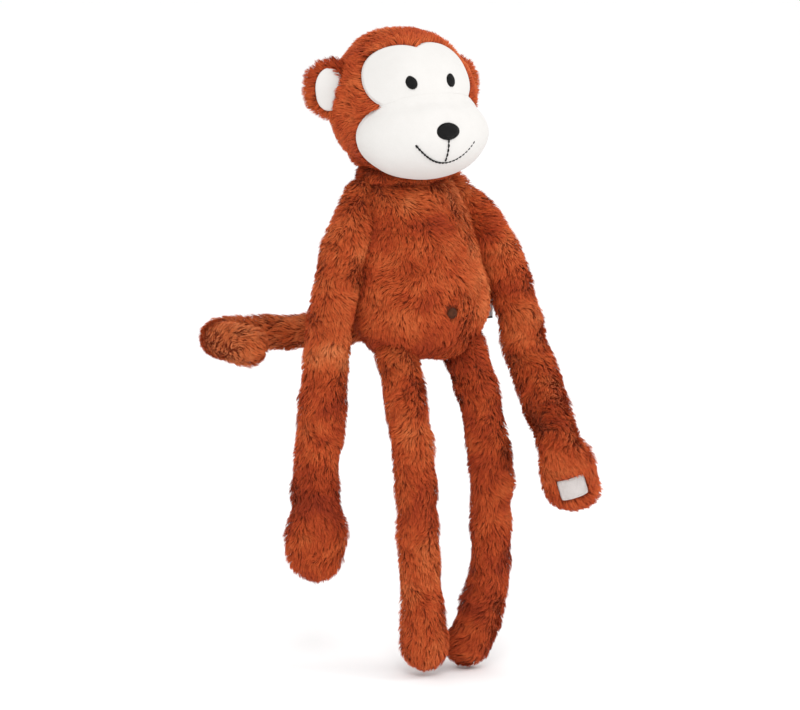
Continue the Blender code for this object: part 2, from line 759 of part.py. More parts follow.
def make_arm(side, looks):
    arm = ARM[side]
    path = next_dome([arm["shoulder"], *arm["upper_bend"], arm["elbow"]], ELBOW_RADIUS, ELBOW_RADIUS)
    root, full = SHOULDER_RADIUS, UPPER_ARM_RADIUS
    stations = [(0, root, root), UPPER_ARM_TAPER, (UPPER_ARM_FULL, full, full)]
    stations.append((1, ELBOW_RADIUS, ELBOW_RADIUS))
    forward = Vector((0, 1, 0))
    holes = (SHOULDER_OPENING, SEAM_OPENING)
    segment(side + "_upper_arm", side + "_upper_arm", path, stations, looks, holes, forward)
    path = next_dome([arm["elbow"], arm["forearm_bend"], arm["wrist"]], WRIST_RADIUS, WRIST_RADIUS)
    stations = [(0, ELBOW_RADIUS, ELBOW_RADIUS), (FOREARM_FULL, FOREARM_RADIUS, FOREARM_RADIUS)]
    stations.append((1, WRIST_RADIUS, WRIST_RADIUS))
    holes = (SEAM_OPENING, SEAM_OPENING)
    segment(side + "_forearm", side + "_forearm", path, stations, looks, holes, forward)
    along = arm["hand"]
    palm = arm["palm"] - along * arm["palm"].dot(along)
    palm.normalize()
    broad = along.cross(palm)
    tip_width = HAND_HALF_WIDTH * HAND_TIP_SHARE
    end = arm["wrist"] + along * (HAND_LENGTH - tip_width)
    stations = [(0, WRIST_RADIUS, WRIST_RADIUS)]
    stations.append((HAND_FULL, HAND_HALF_WIDTH, HAND_HALF_THICKNESS))
    stations.append((1, tip_width, HAND_HALF_THICKNESS * HAND_TIP_SHARE))
    path = [arm["wrist"], end]
    segment(side + "_hand", side + "_hand", path, stations, looks, (SEAM_OPENING, None), broad)
    centre = arm["wrist"] + along * HAND_LENGTH * PATCH_PLACE
    lift = HAND_HALF_THICKNESS + PATCH_LIFT
    square = ((-1, -1), (1, -1), (1, 1), (-1, 1))
    rings = []
    for rise in (lift, lift + PATCH_THICKNESS):
        ring = []
        for i, j in square:
            offset = broad * i * PATCH_WIDTH / 2 + along * j * PATCH_HEIGHT / 2
            ring.append(centre + offset + palm * rise)
        rings.append(ring)
    ends = [[sum(ring, Vector()) / 4] for ring in rings]
    patch = skin(side + "_palm_patch", [ends[0], *rings, ends[1]])
    add_object(side + "_palm_patch", patch, side + "_hand", looks["patch"])


def make_leg(side, looks):
    leg = LEG[side]
    path = next_dome([leg["hip"], leg["thigh_bend"], leg["knee"]], KNEE_RADIUS, KNEE_RADIUS)
    stations = [(0, THIGH_RADIUS, THIGH_RADIUS), (1, KNEE_RADIUS, KNEE_RADIUS)]
    holes = (SEAM_OPENING, SEAM_OPENING)
    segment(side + "_thigh", side + "_thigh", path, stations, looks, holes)
    path = [leg["knee"], leg["shin_bend"], leg["foot"]]
    stations = [(0, KNEE_RADIUS, KNEE_RADIUS), (SHIN_EVEN, KNEE_RADIUS, KNEE_RADIUS)]
    stations.append((1, FOOT_RADIUS, FOOT_RADIUS))
    segment(side + "_shin", side + "_shin", path, stations, looks, (SEAM_OPENING, None))


def make_tail(looks):
    thick, root = TAIL_RADIUS, TAIL_ROOT_RADIUS
    up = Vector((0, 0, 1))
    path = next_dome([TAIL_ROOT, TAIL_BEND, TAIL_FOLD], thick, thick)
    stations = [(0, root, root), (TAIL_FULL, thick, thick), (1, thick, thick)]
    holes = (TAIL_OPENING, TAIL_OPENING)
    segment("tail_base", "tail_base", path, stations, looks, (SEAM_OPENING, TAIL_OPENING), up)
    stations = [(0, thick, thick), (1, thick, thick)]
    path = next_dome([TAIL_FOLD, TAIL_TURN], thick, thick)
    segment("tail_middle", "tail_middle", path, stations, looks, holes, up, 1)
    path = [TAIL_TURN, TAIL_END]
    segment("tail_tip", "tail_tip", path, stations, looks, (TAIL_OPENING, None), up, 2)


clear_scene()
LOOKS = {
    "fur": material("rust_plush", (0.43, 0.08, 0.025), 0.95),
    "plush": material("white_plush", (0.90, 0.87, 0.83), 0.90),
    "stuffing": material("polyester_fibre", (0.93, 0.93, 0.92), 1.0),
    "black": material("black_thread", (0.02, 0.02, 0.02), 0.55),
    "brown": material("brown_thread", (0.10, 0.03, 0.012), 0.60),
    "patch": material("hook_and_loop", (0.78, 0.74, 0.72), 0.85),
    "label": material("woven_label", (0.55, 0.55, 0.55), 0.80),
}
make_pivots()
make_torso(LOOKS)
make_head(LOOKS)
make_features(LOOKS)
for one_side in ("right", "left"):
    make_arm(one_side, LOOKS)
    make_leg(one_side, LOOKS)
make_tail(LOOKS)
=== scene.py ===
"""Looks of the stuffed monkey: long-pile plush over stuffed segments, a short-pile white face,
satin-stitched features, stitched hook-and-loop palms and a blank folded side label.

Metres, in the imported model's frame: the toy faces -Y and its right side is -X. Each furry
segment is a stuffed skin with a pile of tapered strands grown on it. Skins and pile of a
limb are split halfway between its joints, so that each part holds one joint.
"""

import json
import math

import bpy
import numpy as np
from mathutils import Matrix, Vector


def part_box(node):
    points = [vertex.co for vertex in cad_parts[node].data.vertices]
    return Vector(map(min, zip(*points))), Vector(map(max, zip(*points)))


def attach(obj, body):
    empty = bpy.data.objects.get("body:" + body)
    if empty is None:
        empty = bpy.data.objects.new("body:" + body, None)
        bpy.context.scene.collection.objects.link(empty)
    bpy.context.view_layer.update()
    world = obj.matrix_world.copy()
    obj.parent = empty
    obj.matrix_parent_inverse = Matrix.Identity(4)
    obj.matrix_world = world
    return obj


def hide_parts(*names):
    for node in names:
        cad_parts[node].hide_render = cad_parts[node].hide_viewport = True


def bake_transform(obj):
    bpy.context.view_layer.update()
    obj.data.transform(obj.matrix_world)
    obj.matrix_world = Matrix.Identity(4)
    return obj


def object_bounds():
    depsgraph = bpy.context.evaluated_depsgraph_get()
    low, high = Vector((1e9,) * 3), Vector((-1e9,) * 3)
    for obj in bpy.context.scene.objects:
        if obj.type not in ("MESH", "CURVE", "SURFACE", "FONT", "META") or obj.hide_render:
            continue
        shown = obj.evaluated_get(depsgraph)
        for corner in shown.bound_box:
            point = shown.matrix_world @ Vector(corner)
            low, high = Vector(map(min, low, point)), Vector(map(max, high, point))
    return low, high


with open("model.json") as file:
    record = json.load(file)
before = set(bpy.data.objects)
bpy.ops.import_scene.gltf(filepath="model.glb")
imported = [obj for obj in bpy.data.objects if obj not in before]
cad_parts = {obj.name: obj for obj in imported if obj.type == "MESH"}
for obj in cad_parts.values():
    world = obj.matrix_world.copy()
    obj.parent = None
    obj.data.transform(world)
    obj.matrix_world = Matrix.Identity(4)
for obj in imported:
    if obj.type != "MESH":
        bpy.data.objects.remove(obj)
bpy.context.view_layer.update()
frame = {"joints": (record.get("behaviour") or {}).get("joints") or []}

ANCHOR = {joint["name"]: np.array(joint["pos_m"]) for joint in frame["joints"]}

# Pile: how far a strand rises and reaches, its width, strands per square metre, and the locks
# that strands gather in. The skin lies inside the CAD surface by SKIN_INSET, under the pile.
PILE_RISE = 0.004
PILE_REACH = 0.0066
PILE_WIDTH = 0.00062
PILE_DENSITY = 1.25e6
LOCK_SIZE = 0.004
LOCK_PULL = 0.42
SKIN_INSET = 0.0022
TONE_WIDTH = 0.012  # each strand's own difference in tone between its two sides

# Torso, as packed
TORSO_HALF = (0.062, 0.051)
SEAT_HALF = (0.03, 0.018)
SEAT_SHIFT = 0.013
BELLY_HEIGHT = 0.062
COLLAR_HEIGHT = 0.146
COLLAR_SHARE = 0.661
UNDERSIDE = (1.12, 2.2)  # depth as a share of the belly's height, and how square it is

# Head, as packed
HEAD_RADIUS = 0.062
MUZZLE_HALF = (0.058, 0.046, 0.037)
MUZZLE_CENTRE = (0.0, -0.031, -0.023)
MUZZLE_BLEND = 20.0
HEAD_TURN = math.radians(-0.5)
HEAD = ANCHOR["neck_nod"] + np.array((0.0, 0.002, 0.0628))
NECK_HALF = (0.0395, 0.033, 0.0135)

# Face. A seam is its centre and half sizes, in degrees off straight ahead. The two lobes mirror
# each other about LOBE_SHIFT. Places are (x, z) in the head's front view.
MUZZLE_SEAM = ((0.0, -24.5), (66.5, 38.0))
LOBE_SEAM = ((21.5, 31.5), (34.5, 31.0))
LOBE_SHIFT = -6.5
SEAM_POWER = 2.2
SEAM_DIP = 0.0014
MUZZLE_PUFF = 0.0026
THREAD = 0.00045
EYE_MIDDLE = -0.0025
EYE_PLACE = (0.0185, 0.0235)
EYE_HALF = (0.0046, 0.0053)
EYE_TILT = 0.1
NOSE_PLACE = (0, -0.0168)
NOSE_HALF = (0.01075, 0.0064)
SMILE_HALF = 0.0275
SMILE_BOTTOM = -0.0418
SMILE_RISE = 0.0155
PHILTRUM_TOP = -0.0224
PHILTRUM_LENGTH = 0.0184

# Ears: place of the middle, half sizes of the lining, half width of the ear
EAR_SPLAY = math.radians(20.0)
EAR_HALF_HEIGHT = 0.0216
EAR_HALF_DEPTH = 0.0042
EAR_LINING_LIFT = 0.0048
EARS = {
    "right": ((-0.064, 0.01, 0.0145), (0.0122, 0.0186), 0.0202),
    "left": ((0.061, 0.014, 0.01), (0.01, 0.016), 0.0245),
}

# Side label and belly button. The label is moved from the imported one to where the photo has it.
# A bare oval holds no pile.
LABEL_SHIFT = np.array((0.001, -0.009, -0.005))
LABEL_BARE = (0.015, 0.0042, 0.0098)
LABEL_THICKNESS = 0.0003
LABEL_FOLD = 0.0006
BUTTON_HALF = 0.0046
BUTTON_BARE = (0.005, 0.012, 0.005)

# Palm tapes: how far down the hand, half sizes, and the block that holds no pile
TAPE_PLACE = 0.041
TAPE_HALF = (0.012, 0.0108)
TAPE_BARE = (0.0126, 0.0114, 0.0075)


def unit(rows):
    return rows / np.maximum(np.linalg.norm(rows, axis=-1, keepdims=True), 1e-12)


def waves(points, size, seed, count=12):
    """Smooth noise, mostly from -1 to 1, with lumps of about this size."""
    draw = np.random.default_rng(seed)
    ways = unit(draw.normal(size=(count, 3))) * math.pi / size
    ways *= draw.uniform(0.6, 1.5, (count, 1))
    return np.sin(points @ ways.T + draw.uniform(0, 6.28, count)).sum(axis=1) * (1.4 / count**0.5)


def circle(count):
    return np.linspace(0, 2 * math.pi, count, endpoint=False)


def smooth(low, high, x):
    share = np.clip((x - low) / (high - low), 0, 1)
    return share * share * (3 - 2 * share)


# ---- meshes


def add_mesh(name, points, faces, look, uv=None):
    """A smooth-shaded object. Faces are rows of 3 or 4 corners, or a list of tuples."""
    mesh = bpy.data.meshes.new(name)
    if isinstance(faces, list):
        mesh.from_pydata([tuple(p) for p in points], [], faces)
    else:
        corners = faces.shape[1]
        mesh.vertices.add(len(points))
        mesh.vertices.foreach_set("co", np.ascontiguousarray(points, np.float32).ravel())
        mesh.loops.add(faces.size)
        mesh.loops.foreach_set("vertex_index", np.ascontiguousarray(faces, np.int32).ravel())
        mesh.polygons.add(len(faces))
        mesh.polygons.foreach_set("loop_start", np.arange(0, faces.size, corners, dtype=np.int32))
        mesh.update(calc_edges=True)
        if uv is not None:
            layer = mesh.uv_layers.new(name="OFBake")
            layer.uv.foreach_set("vector", np.ascontiguousarray(uv[faces.ravel()], np.float32).ravel())
    mesh.validate()
    mesh.shade_smooth()
    mesh.materials.append(look)
    made = bpy.data.objects.new(name, mesh)
    bpy.context.scene.collection.objects.link(made)
    return made


def triangles(faces):
    found = []
    for face in faces:
        found.append(face[:3])
        if len(face) == 4:
            found.append((face[0], face[2], face[3]))
    return np.array(found)


def point_normals(points, tris):
    a, b, c = points[tris[:, 0]], points[tris[:, 1]], points[tris[:, 2]]
    area = np.cross(b - a, c - a)
    total = np.zeros_like(points)
    for k in range(3):
        np.add.at(total, tris[:, k], area)
    return unit(total)


def ring_faces(rings, sides, poles=True):
    """Faces over rings of points in order, with a pole point after them at each end."""
    faces = []
    for i in range(rings - 1):
        for j in range(sides):
            k = (j + 1) % sides
            faces.append((i * sides + j, i * sides + k, (i + 1) * sides + k, (i + 1) * sides + j))
    if poles:
        first, last = rings * sides, rings * sides + 1
        for j in range(sides):
            k = (j + 1) % sides
            faces.append((first, k, j))
            faces.append((last, (rings - 1) * sides + j, (rings - 1) * sides + k))
    return faces


class Form:
    """A closed skin over rings of points, with a pile direction and a place at each point."""

    def __init__(self, rings, along, place=None):
        if place is None:
            place = rings[..., 2]
        count, sides = rings.shape[:2]
        ends = [rings[0].mean(axis=0), rings[-1].mean(axis=0)]
        self.points = np.concatenate([rings.reshape(-1, 3), ends])
        self.faces = ring_faces(count, sides)
        self.tris = triangles(self.faces)
        middle = self.points.mean(axis=0)
        volume = (np.cross(self.points[self.tris[:, 0]] - middle, self.points[self.tris[:, 1]] - middle)
                  * (self.points[self.tris[:, 2]] - middle)).sum()
        if volume < 0:
            self.faces = [face[::-1] for face in self.faces]
            self.tris = self.tris[:, ::-1]
        self.along = np.concatenate([along.reshape(-1, 3), along[0, :1], along[-1, :1]])
        self.place = np.concatenate([place.ravel(), [place.min(), place.max()]])
        self.settle()

    def settle(self):
        self.normals = point_normals(self.points, self.tris)

    def swell(self, amount, size, seed):
        """Uneven stuffing."""
        lumps = waves(self.points, size, seed)[:, None]
        self.points = self.points + self.normals * lumps * amount
        self.settle()


# ---- pile


def scatter(form, density, draw):
    """Roots spread evenly over a form, with the form's values there."""
    corner = form.points[form.tris]
    area = np.linalg.norm(np.cross(corner[:, 1] - corner[:, 0], corner[:, 2] - corner[:, 0]), axis=1) / 2
    count = int(area.sum() * density)
    pick = draw.choice(len(area), count, p=area / area.sum())
    first, second = np.sqrt(draw.uniform(size=count)), draw.uniform(size=count)
    share = np.stack([1 - first, first * (1 - second), first * second], axis=1)
    mix = lambda values: (values[form.tris[pick]] * share[..., None]).sum(axis=1)
    return mix(form.points), unit(mix(form.normals)), mix(form.along), mix(form.place[:, None])[:, 0]


def lock_of(points, size):
    """Which lock of pile each root belongs to."""
    warp = np.stack([waves(points, size * 2.5, 900 + k) for k in range(3)], axis=1)
    cell = np.floor((points + warp * size * 0.6) / size).astype(np.int64)
    key = ((cell[:, 0] + 5000) * 10000 + cell[:, 1] + 5000) * 10000 + cell[:, 2] + 5000
    return np.unique(key, return_inverse=True)[1].reshape(-1)


def lock_mean(lock, rows):
    count = np.bincount(lock)
    return np.stack([np.bincount(lock, rows[:, k]) / count for k in range(rows.shape[1])], axis=1)[lock]


def turned(rows, axis, angle):
    angle = angle[:, None]
    return rows * np.cos(angle) + np.cross(axis, rows) * np.sin(angle)


def pile(form, seed, tone, keep=None, rise=PILE_RISE, reach=PILE_REACH, width=PILE_WIDTH,
         density=PILE_DENSITY, lock=LOCK_SIZE, swirl=0.45, bare=()):
    """Strands of pile as (points, uv, place, root): seven points each, root to tip."""
    draw = np.random.default_rng(seed)
    root, normal, along, place = scatter(form, density, draw)
    if keep is not None:
        held = keep(root)
        root, normal, along, place = root[held], normal[held], along[held], place[held]
    count = len(root)
    flat = unit(along - normal * (along * normal).sum(axis=1, keepdims=True))
    bend = waves(root, 0.026, seed + 1) * swirl + waves(root, 0.009, seed + 2) * swirl * 0.6
    flat = turned(flat, normal, bend + draw.normal(0, 0.16, count))
    group = lock_of(root, lock)
    groups = group.max() + 1
    lean = draw.normal(0, 0.16, groups)[group]
    flat = turned(flat, normal, lean)
    tall = (1 + 0.13 * draw.normal(size=groups)[group] + 0.13 * draw.normal(size=count)).clip(0.5, 1.4)
    tall *= 1 + 0.15 * waves(root, 0.018, seed + 3)
    lift = (rise * tall)[:, None]
    lay = (reach * (1.1 - 0.1 * tall))[:, None]
    tip = root + flat * lay + normal * lift
    pull = lock_mean(group, tip) - tip
    pull -= normal * (pull * normal).sum(axis=1, keepdims=True) * 0.7
    pull *= LOCK_PULL * draw.uniform(0.6, 1.2, (count, 1))
    across = unit(np.cross(normal, flat))
    twist = draw.normal(0, 0.55, count)[:, None]
    across = across * np.cos(twist) + normal * np.sin(twist)
    rows = []
    half = width / 2 * draw.uniform(0.7, 1.25, (count, 1))
    for s, w in ((0.0, 0.9), (0.36, 1.0), (0.72, 0.66)):
        middle = root + flat * lay * s**1.25 + normal * lift * (1.7 * s - 0.7 * s * s) + pull * s * s
        rows += [middle - across * half * w, middle + across * half * w]
    rows.append(tip + pull)
    points = np.stack(rows, axis=1)
    ends = points[:, 6]
    kept = np.ones(count, bool)
    for inside in bare:
        kept &= ~inside(ends) & ~inside(root) & ~inside(points[:, 2])
    # tone(root) brings each part's painted light and shade; the waves and draws add tone that differs at
    # random.
    base = tone(root) + 0.08 * waves(root, 0.03, seed + 4) + 0.06 * waves(root, 0.012, seed + 5)
    base += 0.035 * draw.normal(size=groups)[group] + 0.05 * draw.normal(size=count)
    base = base.clip(0.02, 0.96)
    uv = np.zeros((count, 7, 2))
    uv[..., 0] = base[:, None]
    uv[:, (1, 3, 5), 0] += TONE_WIDTH
    uv[:, 6, 0] += TONE_WIDTH / 2
    uv[..., 1] = np.array((0.02, 0.02, 0.36, 0.36, 0.72, 0.72, 0.98))
    return points[kept], uv[kept], place[kept], root[kept]


def add_pile(name, points, uv):
    strand = np.array(((0, 1, 3), (0, 3, 2), (2, 3, 5), (2, 5, 4), (4, 5, 6)))
    faces = (np.arange(len(points))[:, None, None] * 7 + strand).reshape(-1, 3)
    return add_mesh(name, points.reshape(-1, 3), faces, LOOKS["rust"], uv.reshape(-1, 2))


# ---- materials


def new_look(name, roughness, sheen=0.0, tint=(1, 1, 1), sheen_roughness=0.5, specular=0.3):
    look = bpy.data.materials.new(name)
    look.use_nodes = True
    shader = look.node_tree.nodes["Principled BSDF"]
    values = {"Roughness": roughness, "Sheen Weight": sheen, "Sheen Roughness": sheen_roughness,
              "Sheen Tint": (*tint, 1), "Specular IOR Level": specular}
    for socket, value in values.items():
        shader.inputs[socket].default_value = value
    return look, look.node_tree, shader


def add_node(tree, kind, **values):
    """A node, with its properties and, by socket name, its unlinked values."""
    node = tree.nodes.new(kind)
    for key, value in values.items():
        if key in node.inputs:
            node.inputs[key].default_value = value
        else:
            setattr(node, key, value)
    return node


def ramp(tree, source, stops):
    node = tree.nodes.new("ShaderNodeValToRGB")
    tree.links.new(source, node.inputs["Fac"])
    elements = node.color_ramp.elements
    while len(elements) < len(stops):
        elements.new(0.5)
    for element, (place, colour) in zip(elements, stops):
        element.position = place
        element.color = (*colour, 1)
    return node.outputs["Color"]


def texture(tree, kind, **values):
    node = add_node(tree, "ShaderNodeTex" + kind, **values)
    where = add_node(tree, "ShaderNodeTexCoord").outputs["Object"]
    tree.links.new(where, node.inputs["Vector"])
    return node.outputs["Fac"]


def multiplied(tree, share, first, second):
    node = add_node(tree, "ShaderNodeMix", data_type="RGBA", blend_type="MULTIPLY")
    node.inputs[0].default_value = share
    tree.links.new(first, node.inputs[6])
    tree.links.new(second, node.inputs[7])
    return node.outputs[2]


def add_bump(tree, shader, height, strength, distance):
    node = add_node(tree, "ShaderNodeBump", Strength=strength, Distance=distance)
    tree.links.new(height, node.inputs["Height"])
    tree.links.new(node.outputs["Normal"], shader.inputs["Normal"])


def pile_look(name, tones, root_painted_shade, middle_painted_shade, tip_shade, sheen, tint):
    """Colour by strand across u and from root to tip along v; the roots are darker, a painted shade in the
    depth of the pile.
    """
    look, tree, shader = new_look(name, 0.75, sheen, tint, 0.45, 0.25)
    place = add_node(tree, "ShaderNodeUVMap", uv_map="OFBake")
    split = add_node(tree, "ShaderNodeSeparateXYZ")
    tree.links.new(place.outputs["UV"], split.inputs[0])
    strand = ramp(tree, split.outputs["X"], tones)
    length = ramp(tree, split.outputs["Y"], ((0.0, root_painted_shade), (0.4, middle_painted_shade), (1.0, tip_shade)))
    tree.links.new(multiplied(tree, 1.0, strand, length), shader.inputs["Base Color"])
    return look


def cloth_look(name, light, dark, scale, sheen=0.2, bump=0.4, distance=0.0006, shade=0.86):
    """Woven or napped backing, mottled between two colours."""
    look, tree, shader = new_look(name, 0.9, sheen, light, 0.5, 0.2)
    mottle = texture(tree, "Noise", Scale=scale * 0.08, Detail=3.0)
    grain = texture(tree, "Noise", Scale=scale, Detail=2.0)
    broad = ramp(tree, mottle, ((0.3, dark), (0.7, light)))
    fine = ramp(tree, grain, ((0.3, (shade,) * 3), (0.7, (1, 1, 1))))
    tree.links.new(multiplied(tree, 0.8, broad, fine), shader.inputs["Base Color"])
    if bump:
        add_bump(tree, shader, grain, bump, distance)
    return look


def thread_look(name, light, dark):
    """Rayon embroidery thread with a slight gloss and a fine twist."""
    look, tree, shader = new_look(name, 0.55, 0.0, light, 0.4, 0.18)
    twist = texture(tree, "Wave", Scale=900.0, Distortion=3.0, Detail=2.0)
    patch = texture(tree, "Noise", Scale=350.0, Detail=2.0)
    tree.links.new(ramp(tree, patch, ((0.3, dark), (0.7, light))), shader.inputs["Base Color"])
    add_bump(tree, shader, twist, 0.25, 0.0002)
    return look


LOOKS = {
    "rust": pile_look(
        "rust_pile",
        ((0.0, (0.24, 0.02, 0.004)), (0.3, (0.43, 0.05, 0.009)), (0.5, (0.56, 0.084, 0.016)),
         (0.75, (0.68, 0.15, 0.038)), (1.0, (0.78, 0.24, 0.08))),
        # root, middle and tip: painted shade, darker towards the root of each strand
        (0.5, 0.42, 0.4), (0.88, 0.88, 0.88), (1.0, 1.0, 1.0), 0.12, (1.0, 0.5, 0.28)),
    "backing": cloth_look("rust_backing", (0.3, 0.055, 0.018), (0.2, 0.032, 0.011), 900.0),
    "plush": cloth_look("white_short_plush", (0.68, 0.662, 0.64), (0.665, 0.647, 0.624), 1400.0, 0.25, 0.25,
                        0.0003, 0.96),
    "black": thread_look("black_embroidery", (0.01, 0.009, 0.009), (0.004, 0.004, 0.004)),
    "brown": thread_look("brown_embroidery", (0.095, 0.026, 0.008), (0.05, 0.013, 0.004)),
    "loop": cloth_look("loop_tape", (0.66, 0.615, 0.595), (0.59, 0.545, 0.525), 2200.0, 0.2, 0.8, 0.0006),
    "loop_thread": thread_look("tape_stitching", (0.72, 0.66, 0.63), (0.62, 0.56, 0.53)),
    "label": cloth_look("label_weave", (0.42, 0.42, 0.42), (0.34, 0.34, 0.34), 2600.0, 0.1, 0.5, 0.0003),
    "label_edge": cloth_look("label_border", (0.03, 0.028, 0.027), (0.018, 0.017, 0.017), 2600.0, 0.1, 0.5,
                             0.0003),
}


def dress(piece, body, slot, *nodes):
    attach(piece, body)
    if nodes:
        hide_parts(*nodes)


def add_form(name, form, look="backing"):
    return add_mesh(name, form.points, form.faces, LOOKS[look])


def dress_stitches(name, stitches, look, body, slot, *nodes):
    points, faces = stitches
    dress(add_mesh(name, points, faces, LOOKS[look]), body, slot, *nodes)


def dress_pile(stem, body, points, uv, front):
    for name, mine in ((stem + "_front_pile", front), (stem + "_back_pile", ~front)):
        dress(add_pile(name, points[mine], uv[mine]), body, "rust_plush")


def corners(node):
    """The low and high corners of a CAD node's box."""
    low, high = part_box(node)
    return np.array(low), np.array(high)


def even_tone(level):
    return lambda points: np.full(len(points), level)


# ---- torso


def torso_centre(z):
    z = np.asarray(z, float)
    return np.stack([-0.045 * z, 0.002 + 0.155 * np.maximum(z - 0.03, 0), z], axis=-1)


def torso_share(z):
    rise = (COLLAR_HEIGHT - BELLY_HEIGHT) / math.sqrt(1 - COLLAR_SHARE**2)
    drop, power = BELLY_HEIGHT * UNDERSIDE[0], UNDERSIDE[1]
    upper = np.sqrt(1 - ((z - BELLY_HEIGHT) / rise) ** 2)
    lower = (1 - (np.maximum(BELLY_HEIGHT - z, 0) / drop) ** power) ** (1 / power)
    return np.where(z >= BELLY_HEIGHT, upper, lower)


def torso_form():
    around = np.stack([np.cos(circle(96)), np.sin(circle(96))], axis=1)
    half, seat_half = np.array(TORSO_HALF), np.array(SEAT_HALF)

    def ring(middle, sizes):
        points = np.tile(np.array(middle, float), (len(around), 1))
        points[:, :2] += around * sizes
        return points

    rings = [ring((0, SEAT_SHIFT, SKIN_INSET), (seat_half - SKIN_INSET) * share)
             for share in (0.25, 0.5, 0.75, 1.0)]
    for z in np.concatenate([np.linspace(0.0055, 0.02, 7), np.linspace(0.0225, COLLAR_HEIGHT, 52)]):
        rings.append(ring(torso_centre(z), half * float(torso_share(z)) - SKIN_INSET))
    # The top rounds over to a flat under the neck.
    for share, lift in ((0.93, 0.0025), (0.82, 0.0045), (0.66, 0.0055), (0.45, 0.006), (0.2, 0.006)):
        middle = torso_centre(COLLAR_HEIGHT) + np.array((0, 0, lift))
        rings.append(ring(middle, (half * COLLAR_SHARE - SKIN_INSET) * share))
    rings = np.array(rings)
    along = np.zeros_like(rings)
    along[..., 2] = -1.0
    under = smooth(0.03, 0.0, rings[..., 2])
    along[..., 1] += under * 0.6
    top = smooth(COLLAR_HEIGHT, COLLAR_HEIGHT + 0.004, rings[..., 2])[..., None]
    along += unit(rings - torso_centre(COLLAR_HEIGHT)) * top * 2
    form = Form(rings, along)
    # Seams down both sides draw the cloth in a little.
    side = np.abs(form.points[:, 1] - torso_centre(form.points[:, 2])[:, 1])
    seam = np.exp(-((side / 0.0035) ** 2)) * smooth(0.012, 0.03, form.points[:, 2])
    form.points -= form.normals * (seam * 0.0012)[:, None]
    form.settle()
    form.swell(0.0008, 0.03, 11)
    return form


def oval(centre, axes, sizes):
    """A test for points in an ellipsoid."""
    centre, axes, sizes = (np.array([*x], float) for x in (centre, axes, sizes))
    return lambda points: ((((points - centre) @ axes.T) / sizes) ** 2).sum(axis=1) < 1


def torso_painted_light_tone(points):
    """The pile is painted lighter down the left side of the torso as painted light and just below the head
    as a painted fill against the head's shadow, and darker low on the belly as painted shade.
    """
    flank_painted_light = smooth(0.008, 0.04, points[:, 0]) * smooth(0.02, 0.05, points[:, 2])
    chin_painted_light = smooth(0.122, 0.15, points[:, 2])
    low = smooth(0.035, 0.0, points[:, 2])
    return 0.49 + 0.26 * flank_painted_light + 0.14 * chin_painted_light - 0.26 * low


def make_torso():
    form = torso_form()
    skin = add_form("torso_skin", form)
    dress(skin, "root", "rust_plush", "torso_front_cover", "torso_back_cover", "seat_panel",
          "torso_stuffing")
    bare = (
        oval(sum(corners("belly_button")) / 2, np.eye(3), BUTTON_BARE),
        oval(sum(corners("side_label")) / 2 + LABEL_SHIFT, np.eye(3), LABEL_BARE),
    )
    points, uv, _, root = pile(form, 100, torso_painted_light_tone, bare=bare)
    dress_pile("torso", "root", points, uv, root[:, 1] < torso_centre(root[:, 2])[:, 1])


# ---- head


def head_reach(ways):
    """How far the head's surface is from its middle, along unit vectors."""
    axes, centre = np.array(MUZZLE_HALF), np.array(MUZZLE_CENTRE)
    a = ((ways / axes) ** 2).sum(axis=-1)
    b = (ways * centre / axes**2).sum(axis=-1)
    c = ((centre / axes) ** 2).sum() - 1
    muzzle = (b + np.sqrt(np.maximum(b * b - a * c, 0))) / a
    return (HEAD_RADIUS**MUZZLE_BLEND + np.maximum(muzzle, 0) ** MUZZLE_BLEND) ** (1 / MUZZLE_BLEND)


def head_place(local):
    c, s = math.cos(HEAD_TURN), math.sin(HEAD_TURN)
    local = np.asarray(local, float)
    x, y, z = local[..., 0], local[..., 1], local[..., 2]
    return HEAD + np.stack([x * c - y * s, x * s + y * c, z], axis=-1)


def head_turned(ways):
    return head_place(ways) - HEAD


def head_local(points):
    c, s = math.cos(HEAD_TURN), math.sin(HEAD_TURN)
    x, y, z = (points - HEAD).T
    return np.stack([x * c + y * s, -x * s + y * c, z], axis=-1)


def last_inside(inside, shape, far):
    """The edge, from 0 to far, of the values that are inside."""
    near, far = np.zeros(shape), np.full(shape, far)
    for _ in range(40):
        middle = (near + far) / 2
        held = inside(middle)
        near, far = np.where(held, middle, near), np.where(held, far, middle)
    return near


def head_front(x, z):
    """Points on the front of the head at these places in its front view."""
    x, z = np.broadcast_arrays(np.asarray(x, float), np.asarray(z, float))

    def inside(reach):
        point = np.stack([x, -reach, z], axis=-1)
        length = np.linalg.norm(point, axis=-1)
        return length < head_reach(point / length[..., None])

    return np.stack([x, -last_inside(inside, x.shape, 0.12), z], axis=-1)


def head_normals(local):
    step = 0.0005
    slopes = []
    for axis in range(3):
        ends = []
        for way in (-step, step):
            moved = np.array(local, float)
            moved[..., axis] += way
            length = np.linalg.norm(moved, axis=-1)
            ends.append(length - head_reach(moved / length[..., None]))
        slopes.append(ends[1] - ends[0])
    return unit(np.stack(slopes, axis=-1))


def off_front(local):
    """How many degrees each point lies off straight ahead, sideways and upwards."""
    way = unit(np.asarray(local, float))
    angle = np.degrees(np.arccos(np.clip(-way[..., 1], -1, 1)))
    turn = np.arctan2(way[..., 2], way[..., 0])
    return angle * np.cos(turn), angle * np.sin(turn)


def seam_depth(x, z, seam):
    """How far inside an oval seam, in metres; below 0 outside."""
    centre, half = seam
    reach = (np.abs((x - centre[0]) / half[0]) ** SEAM_POWER
             + np.abs((z - centre[1]) / half[1]) ** SEAM_POWER) ** (1 / SEAM_POWER)
    return (1 - reach) * math.radians(min(half)) * HEAD_RADIUS


def lobes_depth(local):
    x, z = off_front(local)
    return seam_depth(np.abs(x - LOBE_SHIFT), z, LOBE_SEAM)


def muzzle_depth(local):
    return seam_depth(*off_front(local), MUZZLE_SEAM)


def face_depth(local):
    return np.maximum(lobes_depth(local), muzzle_depth(local))


